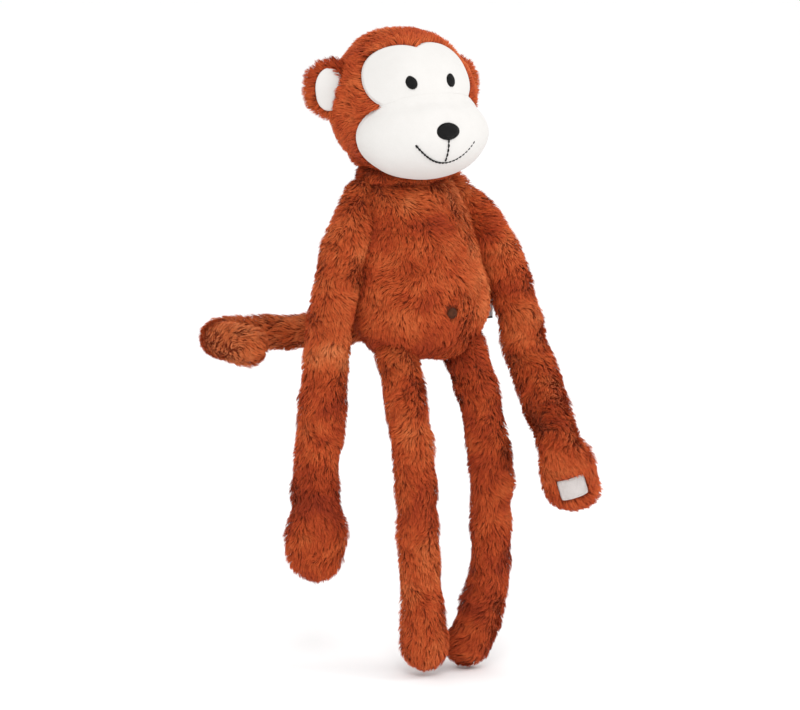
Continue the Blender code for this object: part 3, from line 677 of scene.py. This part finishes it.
def head_form():
    """The head's skin. Its pile runs away from the middle of the face and downwards."""
    sides = 120
    turn = circle(sides)
    rings = []
    for polar in np.linspace(math.radians(3), math.radians(177), 76):
        way = np.stack([np.cos(turn) * math.sin(polar), np.sin(turn) * math.sin(polar),
                        np.full(sides, -math.cos(polar))], axis=1)
        rings.append(way * (head_reach(way) - SKIN_INSET)[:, None])
    local = np.array(rings)
    rings = head_place(local)
    parting = np.array((0.0, -HEAD_RADIUS, -0.01))
    away = unit(local - parting) + np.array((0, 0.25, -0.35))
    away[..., 2] -= smooth(0.0, 0.06, local[..., 1]) * 0.8
    form = Form(rings, head_turned(away))
    form.swell(0.0007, 0.028, 21)
    return form


def panel(name, centre, depth, beside, puff=0.0, under=False):
    """A plush panel of the face: rings out from its centre to its outline, with a rolled edge.

    depth and beside say how far inside this panel's seam and the other panel's a point is. The
    panel that goes under the other one sinks there.
    """
    sides = 220
    axis = unit(np.array(centre, float))
    side = unit(np.cross(axis, (0, 0, 1.0)))
    up = np.cross(side, axis)
    turn = circle(sides)
    out = np.cos(turn)[:, None] * side + np.sin(turn)[:, None] * up

    def ring(angle):
        way = axis * np.cos(angle)[:, None] + out * np.sin(angle)[:, None]
        return way * head_reach(way)[:, None]

    outline = last_inside(lambda angle: depth(ring(angle)) > 0, sides, math.radians(105))
    shares = np.concatenate([np.linspace(0.015, 0.9, 48), np.linspace(0.912, 1.0, 16)])
    local = np.array([ring(outline * share) for share in shares])
    flat = local.reshape(-1, 3)
    normal = head_normals(flat)
    inner = np.maximum(depth(flat), 0)
    seam = 1 - smooth(-0.001, 0.0025, beside(flat))
    drop = SEAM_DIP * (1 - smooth(0, 0.003, inner)) * (0.15 + 0.85 * seam) - 0.0004
    if under:
        drop = drop + 0.003 * smooth(0.0004, 0.003, beside(flat))
    lumps = waves(flat, 0.02, 31) * 0.00035 * smooth(0, 0.008, inner)
    full = puff * smooth(0, 0.016, inner) * (1 - smooth(-0.004, 0.008, beside(flat)))
    flat = flat + normal * (lumps + full - drop)[:, None]
    rings = head_place(flat.reshape(local.shape))
    edge = rings[-1] + (rings[-1].mean(axis=0) - rings[-1]) * 0.02 + (HEAD - rings[-1]) * 0.03
    rings = np.concatenate([rings, edge[None]])
    form = Form(rings, np.broadcast_to((0.0, 0.0, -1.0), rings.shape))
    return add_form(name, form, "plush")


def stitch(points, radii, sides=6):
    """A closed thread along a path, with its ends capped."""
    points, radii = np.asarray(points, float), np.asarray(radii, float)
    ahead = unit(np.gradient(points, axis=0))
    guide = np.array((0.3, 0.2, 1.0)) if abs(ahead[0][2]) < 0.9 else np.array((1.0, 0.2, 0.3))
    side = unit(np.cross(ahead, guide))
    face = np.cross(ahead, side)
    turn = circle(sides)
    ring = np.cos(turn)[None, :, None] * side[:, None] + np.sin(turn)[None, :, None] * face[:, None]
    rings = points[:, None] + ring * radii[:, None, None]
    return np.concatenate([rings.reshape(-1, 3), points[:1], points[-1:]]), ring_faces(len(points), sides)


def join(parts):
    """Several (points, faces) as one."""
    points, faces, start = [], [], 0
    for part, corners in parts:
        points.append(part)
        faces += [tuple(start + i for i in face) for face in corners]
        start += len(part)
    return np.concatenate(points), faces


def satin(surface, half_width, half_height, thread, height, tilt=0.0):
    """Satin stitch: threads side by side over an oval. Surface gives (point, normal) at (x, z)."""
    parts = []
    count = max(3, round(2 * half_height / thread))
    steps = np.linspace(-1, 1, 9)  # along each thread
    for i in range(count):
        v = (i + 0.5) / count * 2 - 1
        reach = half_width * math.sqrt(max(1 - v * v, 0.02))
        across, up = steps * reach, np.full(len(steps), v * half_height)
        x = across * math.cos(tilt) - up * math.sin(tilt)
        z = across * math.sin(tilt) + up * math.cos(tilt)
        base, normal = surface(x, z)
        crown = height * np.sqrt(np.maximum(1 - steps**2 * 0.98, 0)) * math.sqrt(1 - 0.55 * v * v)
        line = base + normal * (crown - thread * 0.3)[:, None]
        parts.append(stitch(line, np.full(len(steps), thread * 0.62)))
    return join(parts)


def on_face(x0, z0, lift=0.0004):
    """The face's surface round a place in the front view, for satin and seam_line."""
    def surface(x, z):
        local = head_front(x0 + x, z0 + z)
        normal = head_normals(local)
        full = smooth(0, 0.016, muzzle_depth(local)) * (1 - smooth(-0.004, 0.008, lobes_depth(local)))
        full = np.where(muzzle_depth(local) > 0, full * MUZZLE_PUFF, 0)
        return head_place(local + normal * (lift + full)[..., None]), head_turned(normal)
    return surface


def seam_line(surface, path, stitch_length, radius, gap=0.15):
    """Back stitches end to end along a path of (x, z) points."""
    path = np.array(path, float)
    steps = np.concatenate([[0], np.cumsum(np.linalg.norm(np.diff(path, axis=0), axis=1))])
    count = max(1, round(steps[-1] / stitch_length))
    parts = []
    for i in range(count):
        ends = (i + gap / 2) / count, (i + 1 - gap / 2) / count
        at = np.linspace(*ends, 7) * steps[-1]
        x, z = (np.interp(at, steps, path[:, k]) for k in range(2))
        base, normal = surface(x, z)
        size = radius(at / steps[-1]) if callable(radius) else np.full(7, radius)
        arch = np.sin(np.linspace(0.12, math.pi - 0.12, 7))
        line = base + normal * (size * (0.2 + 0.8 * arch) - size * 0.35)[:, None]
        parts.append(stitch(line, size * (0.55 + 0.45 * arch)))
    return join(parts)


def make_face():
    mask = panel("face_plush", (0.0, -0.055, 0.028), lobes_depth, muzzle_depth, under=True)
    dress(mask, "head", "white_plush", "face_panel")
    muzzle = panel("muzzle_plush", (0.0, -0.06, -0.024), muzzle_depth, lobes_depth, MUZZLE_PUFF)
    dress(muzzle, "head", "white_plush", "muzzle_panel")
    for side, sign in (("right", -1), ("left", 1)):
        eye = satin(on_face(EYE_MIDDLE + sign * EYE_PLACE[0], EYE_PLACE[1]), *EYE_HALF, THREAD, 0.0015,
                    tilt=-EYE_TILT * sign)
        dress_stitches(side + "_eye_stitches", eye, "black", "head", "black_thread", side + "_eye")
    nose = satin(on_face(*NOSE_PLACE), *NOSE_HALF, THREAD, 0.0019)
    dress_stitches("nose_stitches", nose, "black", "head", "black_thread", "nose")
    x = np.linspace(-SMILE_HALF, SMILE_HALF, 41)
    curve = np.stack([x, SMILE_BOTTOM + SMILE_RISE * (x / SMILE_HALF) ** 2], axis=1)
    # The stitches are heavier towards the right corner of the mouth.
    thick = lambda share: 0.00095 - 0.00025 * smooth(0.35, 0.6, share) + 0.0002 * smooth(0.1, 0.0, share)
    smile = seam_line(on_face(0, 0, 0.0003), curve, 0.0033, thick)
    dress_stitches("smile_stitches", smile, "black", "head", "black_thread", "smile")
    line = [(0.0003 * math.sin(t * 3), PHILTRUM_TOP - PHILTRUM_LENGTH * t) for t in np.linspace(0, 1, 12)]
    philtrum = seam_line(on_face(0, 0, 0.0003), line, 0.0034, 0.00085)
    dress_stitches("philtrum_stitches", philtrum, "black", "head", "black_thread", "philtrum")


def oval_rings(centre, axes, sizes, sides=64, rows=30):
    polar = np.linspace(math.radians(3), math.radians(177), rows)
    turn = circle(sides)
    rings = []
    for angle in polar:
        ring = -axes[2] * math.cos(angle) * sizes[2]
        ring = ring + np.outer(np.cos(turn) * math.sin(angle) * sizes[0], axes[0])
        rings.append(centre + ring + np.outer(np.sin(turn) * math.sin(angle) * sizes[1], axes[1]))
    return np.array(rings)


def make_ear(side, sign):
    place, lining_half, half_width = EARS[side]
    angle = HEAD_TURN + sign * EAR_SPLAY
    c, s = math.cos(angle), math.sin(angle)
    axes = np.array(((c, s, 0), (0, 0, 1.0), (s, -c, 0)))
    centre = head_place(place)
    rings = oval_rings(centre, axes, (half_width, EAR_HALF_HEIGHT, EAR_HALF_DEPTH))
    inner_end = head_place((sign * 0.045, 0.009, 0.014))  # the pile runs away from here
    form = Form(rings, unit(rings - inner_end))
    form.swell(0.0005, 0.015, 41)
    skin = add_form(side + "_ear_skin", form)
    dress(skin, "head", "rust_plush", side + "_ear_back")
    front = centre + axes[2] * EAR_LINING_LIFT + axes[0] * sign * 0.002
    rings = oval_rings(front, axes, (*lining_half, 0.0022), 48, 16)
    lining = Form(rings, np.broadcast_to((0, 0, -1.0), rings.shape))
    lining.swell(0.0002, 0.012, 43)
    dress(add_form(side + "_ear_plush", lining, "plush"), "head", "white_plush", side + "_ear_lining")
    away = lambda points: np.linalg.norm(points - HEAD, axis=1) > HEAD_RADIUS - 0.001
    bare = (oval(front, axes, (lining_half[0] - 0.0006, lining_half[1] - 0.0006, 0.004)),)
    points, uv, _, _ = pile(form, 340, even_tone(0.52), away, rise=0.0044, reach=0.0062, lock=0.0055,
                            swirl=0.35, density=1.4e6, bare=bare)
    dress(add_pile(side + "_ear_pile", points, uv), "head", "rust_plush")


# Painted light and shade: the head's pile is lighter towards the crown and darker on the underside of the
# head, below the jaw.
def head_painted_light_tone(points):
    height = head_local(points)[:, 2]
    return 0.5 + 0.08 * smooth(0.0, 0.055, height) - 0.14 * smooth(-0.025, -0.055, height)


def make_head():
    form = head_form()
    skin = add_form("head_skin", form)
    dress(skin, "head", "rust_plush", "head_cover", "head_stuffing")
    off_face = lambda points: face_depth(head_local(points)) < 0.001
    points, uv, _, root = pile(form, 200, head_painted_light_tone, off_face, swirl=0.35)
    dress_pile("head", "head", points, uv, head_local(root)[:, 1] < 0.012)


def make_neck():
    """The plush that joins head and torso."""
    centre = ANCHOR["neck_turn"] + np.array((0, 0, 0.001))
    rings = oval_rings(centre, np.eye(3), NECK_HALF)
    form = Form(rings, unit(rings - centre) + np.array((0, 0, -0.3)))
    dress(add_form("neck_skin", form), "neck", "rust_plush", "neck_stuffing")
    points, uv, _, _ = pile(form, 240, even_tone(0.45), rise=0.003, reach=0.005)
    dress(add_pile("neck_pile", points, uv), "neck", "rust_plush")


# ---- limbs


RING_STEP = 0.0022  # along a limb
END_ANGLES = np.radians((8, 25, 42, 60, 76))  # of the rings that round off its ends


def bezier(points, count):
    t = np.linspace(0, 1, count)[:, None]
    rows = [np.repeat(np.array([p], float), count, axis=0) for p in points]
    while len(rows) > 1:
        rows = [a + (b - a) * t for a, b in zip(rows, rows[1:])]
    return rows[0]


def eased(stations, t):
    """Half sizes at t, eased from one station (t, half width, half depth) to the next."""
    at = np.array([station[0] for station in stations])
    sizes = np.array([station[1:] for station in stations])
    i = np.clip(np.searchsorted(at, t, side="right") - 1, 0, len(at) - 2)
    share = smooth(0, 1, (t - at[i]) / (at[i + 1] - at[i]))[:, None]
    return sizes[i] + (sizes[i + 1] - sizes[i]) * share


def softened(rows, reach):
    """Rows averaged with their neighbours, with the ends held."""
    kernel = np.hanning(2 * reach + 3)[1:-1]
    kernel /= kernel.sum()
    ahead = rows[-1] + (rows[-1] - rows[-2]) * np.arange(1, reach + 1)[:, None]
    behind = rows[0] + (rows[0] - rows[1]) * np.arange(reach, 0, -1)[:, None]
    padded = np.concatenate([behind, rows, ahead])
    return np.stack([np.convolve(padded[:, k], kernel, "valid") for k in range(rows.shape[1])], axis=1)


def limb_form(parts, broad, seed, sides=40):
    """A stuffed tube through all of a limb's joints. Its place counts the parts it has passed.

    Each part is a curve's control points and its stations, and broad is the way of the half width.
    """
    line, sizes, place = [], [], []
    for index, (path, stations) in enumerate(parts):
        length = np.linalg.norm(np.diff(np.array(path, float), axis=0), axis=1).sum()
        count = 2 + round(float(length) / RING_STEP)
        t = np.linspace(0, 1, count)
        first = 0 if index == 0 else 1
        line.append(bezier(path, count)[first:])
        sizes.append(eased(stations, t)[first:])
        place.append(index + t[first:])
    line, sizes, place = (np.concatenate(rows) for rows in (line, sizes, place))
    line, sizes = softened(line, 7), softened(sizes, 4)
    ahead = unit(np.gradient(line, axis=0))
    broad = np.array(broad, float)
    side = unit(broad - ahead * (ahead @ broad)[:, None])
    face = np.cross(ahead, side)
    sizes = sizes - SKIN_INSET
    turn = circle(sides)

    def ring(i, shrink, shift):
        across = side[i] * sizes[i, 0] * np.cos(turn)[:, None]
        across += face[i] * sizes[i, 1] * np.sin(turn)[:, None]
        return line[i] + ahead[i] * shift + across * shrink

    stops = [(0, math.sin(angle), -math.cos(angle) * sizes[0, 0]) for angle in END_ANGLES]
    stops += [(i, 1.0, 0.0) for i in range(len(line))]
    stops += [(-1, math.sin(angle), math.cos(angle) * sizes[-1, 0]) for angle in END_ANGLES[::-1]]
    rings = np.array([ring(*stop) for stop in stops])
    at = [stop[0] for stop in stops]
    form = Form(rings, np.broadcast_to(ahead[at][:, None], rings.shape),
                np.broadcast_to(place[at][:, None], rings.shape[:2]))
    form.swell(0.0005, 0.022, seed)
    form.sides, form.at = sides, place[at]
    return form


def limb_pieces(form, bodies, stems, seed, tone, bare=()):
    """Skins and pile of a limb, split halfway between joints, each holding one joint."""
    rings = form.points[:-2].reshape(-1, form.sides, 3)
    strands, uv, place, _ = pile(form, seed, tone, bare=bare)
    cuts = [-1.0] + [k + 0.5 for k in range(len(bodies) - 2)] + [99.0]
    for k in range(len(bodies) - 1):
        low, high = cuts[k], cuts[k + 1]
        mine = np.flatnonzero((form.at >= low) & (form.at <= high))
        part = rings[max(mine[0] - 1, 0):mine[-1] + 2]
        ends = [part[0].mean(axis=0), part[-1].mean(axis=0)]
        points = np.concatenate([part.reshape(-1, 3), ends])
        faces = ring_faces(len(part), form.sides)
        normals = point_normals(points, triangles(faces))
        outward = (normals[:-2].reshape(part.shape) * (part - part.mean(axis=1, keepdims=True))).sum()
        if outward < 0:
            faces = [face[::-1] for face in faces]
        skin = add_mesh(stems[k] + "_skin", points, faces, LOOKS["backing"])
        held = (place >= low) & (place < high)
        fur = add_pile(stems[k] + "_pile", strands[held], uv[held])
        for piece in (skin, fur):
            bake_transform(piece)
        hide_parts(bodies[k + 1] + "_cover", bodies[k + 1] + "_stuffing")


def limb_tone_and_painted_light(level, seed, rise=0.0):
    """Tone of a limb, and how much lighter it is at shoulder height than at the paws, as painted light."""
    def tone(points):
        return level + 0.03 * waves(points, 0.06, seed) + rise * smooth(-0.1, 0.12, points[:, 2])
    return tone


# A bend is the middle of a curve: upper_bend holds places, and the others are added to the joint
# before them. lead_in is the way from the shoulder into the torso, and shift moves the skin's wrist.
# A paw is its length and its stations, and a tone is its level and its rise up to the shoulder. The rise is
# painted light, and the levels, which differ from part to part of one pile, are painted light and shade.
ARMS = {
    "right": {
        "upper_bend": ((-0.066, -0.006, 0.118), (-0.09, 0.006, 0.066)),
        "forearm_bend": (-0.005, 0.001, -0.06),
        "hand": (0.01, 0.0, -1.0),
        "palm": (0.5, 0.866, 0.0),
        "lead_in": 1.0,
        "shift": (-0.004, 0.0, 0.0),
        "forearm": ((0, 0.018, 0.018), (0.5, 0.0192, 0.0192), (1, 0.0185, 0.0175)),
        "paw": (0.0565, ((0, 0.0185, 0.0175), (0.3, 0.0195, 0.0165), (0.78, 0.0262, 0.0158),
                         (1, 0.024, 0.0145))),
        "tone": (0.37, 0.22),
    },
    "left": {
        "upper_bend": ((0.063, 0.000, 0.114), (0.088, -0.012, 0.062)),
        "forearm_bend": (0.002, -0.034, -0.046),
        "hand": (0.436, 0.256, -0.868),
        "palm": (-0.291, -0.864, -0.409),
        "lead_in": -1.0,
        "shift": (0.0, 0.0, 0.0),
        "forearm": ((0, 0.018, 0.018), (0.5, 0.0188, 0.0188), (1, 0.0165, 0.0165)),
        "paw": (0.0495, ((0, 0.0165, 0.0165), (0.55, 0.025, 0.0155), (1, 0.0228, 0.014))),
        "tone": (0.49, 0.0),
    },
}
LEGS = {
    "right": {
        "thigh_bend": (0.0015, -0.0195, -0.0555),
        "shin_bend": (0.003, 0.003, -0.068),
        "foot": (-0.0215, -0.001, -0.123),
        "thigh": 0.0165,
        "tone": 0.52,
    },
    "left": {
        "thigh_bend": (0.0065, -0.0305, -0.0475),
        "shin_bend": (0.0035, -0.001, -0.0835),
        "foot": (0.024, 0.01, -0.125),
        "thigh": 0.018,
        "tone": 0.32,
    },
}


def make_arm(side, seed):
    arm = ARMS[side]
    shoulder, elbow, wrist = (ANCHOR[side + "_" + name] for name in ("shoulder", "elbow", "wrist"))
    hand = unit(np.array(arm["hand"]))
    palm = np.array(arm["palm"])
    palm = unit(palm - hand * (palm @ hand))
    broad = np.cross(hand, palm)
    inward = np.array((arm["lead_in"], 0, 0))
    turn = shoulder + inward * 0.005
    end = wrist + np.array(arm["shift"])
    paw_length, paw = arm["paw"]
    parts = [
        ([shoulder + inward * 0.018 + np.array((0, 0, 0.006)), turn, turn, *arm["upper_bend"], elbow],
         ((0, 0.0065, 0.0065), (0.3, 0.0118, 0.011), (0.62, 0.0188, 0.0188), (1, 0.018, 0.018))),
        ([elbow, elbow + np.array(arm["forearm_bend"]), end], arm["forearm"]),
        ([end, end + hand * paw_length], paw),
    ]
    form = limb_form(parts, broad, seed)
    skin_half = eased(paw, np.array([TAPE_PLACE / paw_length]))[0] - SKIN_INSET
    middle = end + hand * TAPE_PLACE + palm * (skin_half[1] + 0.001)
    axes = np.array((broad, hand, palm))
    square = lambda points: (np.abs((points - middle) @ axes.T) < TAPE_BARE).all(axis=1)
    level, rise = arm["tone"]
    named = lambda *names: [f"{side}_{name}" for name in names]
    limb_pieces(form, ["root", *named("upper_arm", "forearm", "hand")],
                named("shoulder", "elbow", "paw"), seed + 5, limb_tone_and_painted_light(level, seed, rise), bare=(square,))
    make_tape(side, middle, axes, skin_half)


def make_tape(side, centre, axes, skin_half):
    """A square of hook-and-loop tape wrapped on the palm, with rounded corners and a stitched edge."""
    broad, along, out = axes
    half_width, half_length = TAPE_HALF
    bend = lambda x: skin_half[1] * (np.sqrt(1 - (x / skin_half[0]) ** 2) - 1)
    steps = 22
    grid = np.linspace(-1, 1, steps)
    u, v = np.meshgrid(grid, grid)
    round_off = 1 - 0.06 * (np.abs(u) ** 6) * (np.abs(v) ** 6)
    x, y = u * half_width * round_off, v * half_length * round_off
    edge = np.maximum(np.abs(u), np.abs(v))
    dome = 0.0006 * (1 - u**2) * (1 - v**2) - 0.0006 * smooth(0.88, 1.0, edge)
    draw = np.random.default_rng(71)
    dome = dome + 0.00014 * draw.normal(size=dome.shape) * (edge < 0.86)
    stitched = np.exp(-(((edge - 0.84) / 0.05) ** 2)) * 0.0004
    flat = centre + x[..., None] * broad + y[..., None] * along + bend(x)[..., None] * out
    top = flat + (dome - stitched + 0.0009)[..., None] * out
    low = flat - 0.001 * out
    count = steps * steps
    points = np.concatenate([top.reshape(-1, 3), low.reshape(-1, 3)])
    faces = []
    for i in range(steps - 1):
        for j in range(steps - 1):
            a, b, c, d = (i * steps + j, i * steps + j + 1, (i + 1) * steps + j + 1, (i + 1) * steps + j)
            faces += [(a, b, c, d), (count + d, count + c, count + b, count + a)]
    last = steps - 1
    rim = [*range(steps), *(i * steps + last for i in range(1, steps))]
    rim += [last * steps + j for j in range(last - 1, -1, -1)]
    rim += [i * steps for i in range(last - 1, 0, -1)]
    for a, b in zip(rim, rim[1:] + rim[:1]):
        faces.append((a, count + a, count + b, b))
    made = add_mesh(side + "_palm_tape", points, faces, LOOKS["loop"])
    dress(made, side + "_hand", "hook_and_loop", side + "_palm_patch")

    def surface(x, z):
        u, v = x / half_width, z / half_length
        lift = 0.0006 * (1 - u**2) * (1 - v**2) + 0.0006 + bend(x)
        place = centre + x[:, None] * broad + z[:, None] * along + lift[:, None] * out
        return place, np.broadcast_to(out, place.shape)

    w, h = half_width * 0.85, half_length * 0.85
    path = [(-w, -h), (w, -h), (w, h), (-w, h), (-w, -h)]
    border = seam_line(surface, path, 0.0021, 0.00032, 0.25)
    dress_stitches(side + "_palm_stitching", border, "loop_thread", side + "_hand", "hook_and_loop")


def make_leg(side, seed):
    leg = LEGS[side]
    hip, knee = ANCHOR[side + "_hip"], ANCHOR[side + "_knee"]
    foot = np.array((leg["foot"][0], knee[1] + leg["foot"][1], knee[2] + leg["foot"][2]))
    parts = [
        ([hip + np.array((0, 0.012, 0.019)), hip, hip, hip + np.array(leg["thigh_bend"]), knee],
         ((0, leg["thigh"], leg["thigh"]), (1, 0.0165, 0.0165))),
        ([knee, knee + np.array(leg["shin_bend"]), foot],
         ((0, 0.0165, 0.0165), (0.6, 0.0165, 0.0165), (1, 0.0192, 0.0192))),
    ]
    form = limb_form(parts, (1, 0.01, 0), seed)
    joints = [side + "_hip", side + "_knee"]
    limb_pieces(form, ["root", side + "_thigh", side + "_shin"], joints, seed + 5,
                limb_tone_and_painted_light(leg["tone"], seed))


def make_tail(seed):
    root, fold, curl = (ANCHOR["tail_" + name] for name in ("sweep", "fold", "curl"))
    bend = np.array((-0.055, root[1] + 0.0155, fold[2]))
    end = curl + np.array((0.016, -0.032, -0.002))
    parts = [
        ([root, bend, fold], ((0, 0.0115, 0.0115), (0.3, 0.013, 0.013), (1, 0.0135, 0.0135))),
        ([fold, curl], ((0, 0.0135, 0.0135), (1, 0.0145, 0.014))),
        ([curl, end], ((0, 0.0145, 0.014), (1, 0.0155, 0.0145))),
    ]
    form = limb_form(parts, (0, 0, 1), seed)
    # The tail's high tone level is painted light.
    limb_pieces(form, ["root", "tail_base", "tail_middle", "tail_tip"],
                ["tail_root", "tail_fold", "tail_tip"],
                seed + 5, limb_tone_and_painted_light(0.8, seed))


# ---- small parts of the torso


def make_belly_button():
    middle = sum(corners("belly_button")) / 2

    def surface(x, z):
        place = np.stack([middle[0] + x, np.full(len(x), middle[1] + 0.0002), middle[2] + z], axis=1)
        return place, np.broadcast_to((0.0, -1.0, 0.0), place.shape)

    button = satin(surface, BUTTON_HALF, BUTTON_HALF, THREAD, 0.0016)
    dress_stitches("belly_button_stitches", button, "brown", "root", "brown_thread", "belly_button")


def make_label():
    """A blank loop of woven tape caught in the side seam, dark at its edges."""
    low, high = (corner + LABEL_SHIFT for corner in corners("side_label"))
    middle = (low + high) / 2
    length, tall = high[0] - low[0], high[2] - low[2]
    sheet = [(low[0] - 0.002 + (length + 0.0014) * t, 0.00042 - 0.0001 * math.sin(t * 3))
             for t in np.linspace(0, 1, 12)]
    loop = list(sheet)
    for angle in np.radians(np.linspace(80, -80, 7)):
        loop.append((high[0] + LABEL_FOLD * (math.cos(angle) - 1), 0.0004 * math.sin(angle)))
    loop += [(x, -y) for x, y in reversed(sheet)]
    loop = np.array(loop)
    ahead = unit(np.gradient(loop, axis=0))
    out = np.stack([-ahead[:, 1], ahead[:, 0]], axis=1)
    for name, look, z0, z1 in (("side_label_tape", "label", -0.4, 0.4),
                               ("side_label_lower_edge", "label_edge", -0.5, -0.395),
                               ("side_label_upper_edge", "label_edge", 0.395, 0.5)):
        rings = []
        extra = LABEL_THICKNESS * (1.25 if look == "label_edge" else 1.0) / 2
        for line in (loop + out * extra, loop - out * extra):
            for z in (z0, z1):
                bow = 0.0004 * np.sin(line[:, 0] * 600)
                rings.append(np.stack([line[:, 0], middle[1] + line[:, 1] + bow,
                                       np.full(len(line), middle[2] + z * tall)], axis=1))
        a, b, c, d = rings
        section = np.stack([a, b, d, c], axis=1)
        ends = [section[0].mean(axis=0), section[-1].mean(axis=0)]
        points = np.concatenate([section.reshape(-1, 3), ends])
        made = add_mesh(name, points, ring_faces(len(section), 4), LOOKS[look])
        made.data.set_sharp_from_angle(angle=math.radians(40))
        dress(made, "root", "label_tape", *(["side_label"] if look == "label" else []))


# ---- build

make_torso()
make_head()
make_neck()
make_face()
for one_side, sign in (("right", -1), ("left", 1)):
    make_ear(one_side, sign)
    make_arm(one_side, 500 + sign * 40)
    make_leg(one_side, 600 + sign * 40)
make_tail(700)
make_belly_button()
make_label()

# ---- studio

scene = bpy.context.scene
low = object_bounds()[0]

floor_size = 30.0
floor_points = np.array(((-1, -1, 0), (1, -1, 0), (1, 1, 0), (-1, 1, 0))) * floor_size
floor_points += np.array((0, 0, low.z - 0.0005))
floor_look = cloth_look("floor_paint", (1.0, 1.0, 1.0), (0.995, 0.995, 0.995), 0.5, sheen=0.0, bump=0.0,
                        shade=0.995)
floor = add_mesh("floor", floor_points, [(0, 1, 2, 3)], floor_look)

world = bpy.data.worlds.new("studio")
world.use_nodes = True
world.node_tree.nodes["Background"].inputs["Color"].default_value = (1.0, 1.0, 1.0, 1)
world.node_tree.nodes["Background"].inputs["Strength"].default_value = 1.0
scene.world = world


def area_light(name, place, size, power):
    data = bpy.data.lights.new(name, "AREA")
    data.shape = "DISK"
    data.size = size
    data.energy = power
    lamp = bpy.data.objects.new(name, data)
    lamp.location = place
    lamp.rotation_euler = (-Vector(place)).to_track_quat("-Z", "Y").to_euler()
    scene.collection.objects.link(lamp)


area_light("key", (-1.1, -1.9, 1.7), 1.1, 22)
area_light("fill", (1.6, -1.3, 1.3), 1.2, 12)

# A long lens from the right of the toy's front, aimed a little beside its origin
azimuth, elevation, distance = math.radians(-30), math.radians(10), 4.5
picture_width, sensor = 0.688, 36.0
back = Vector((math.sin(azimuth) * math.cos(elevation), -math.cos(azimuth) * math.cos(elevation),
               math.sin(elevation)))
right = Vector((math.cos(azimuth), math.sin(azimuth), 0))
up = back.cross(right)
aim = right * -0.0194 + up * 0.0009
camera = bpy.data.objects.new("camera", bpy.data.cameras.new("camera"))
camera.data.sensor_width = sensor
camera.data.lens = sensor * distance / picture_width
camera.data.clip_start, camera.data.clip_end = 0.05, 100.0
camera.location = aim + back * distance
camera.rotation_euler = (-back).to_track_quat("-Z", "Y").to_euler()
scene.collection.objects.link(camera)
scene.camera = camera
scene.view_settings.view_transform = "Standard"
scene.view_settings.look = "None"
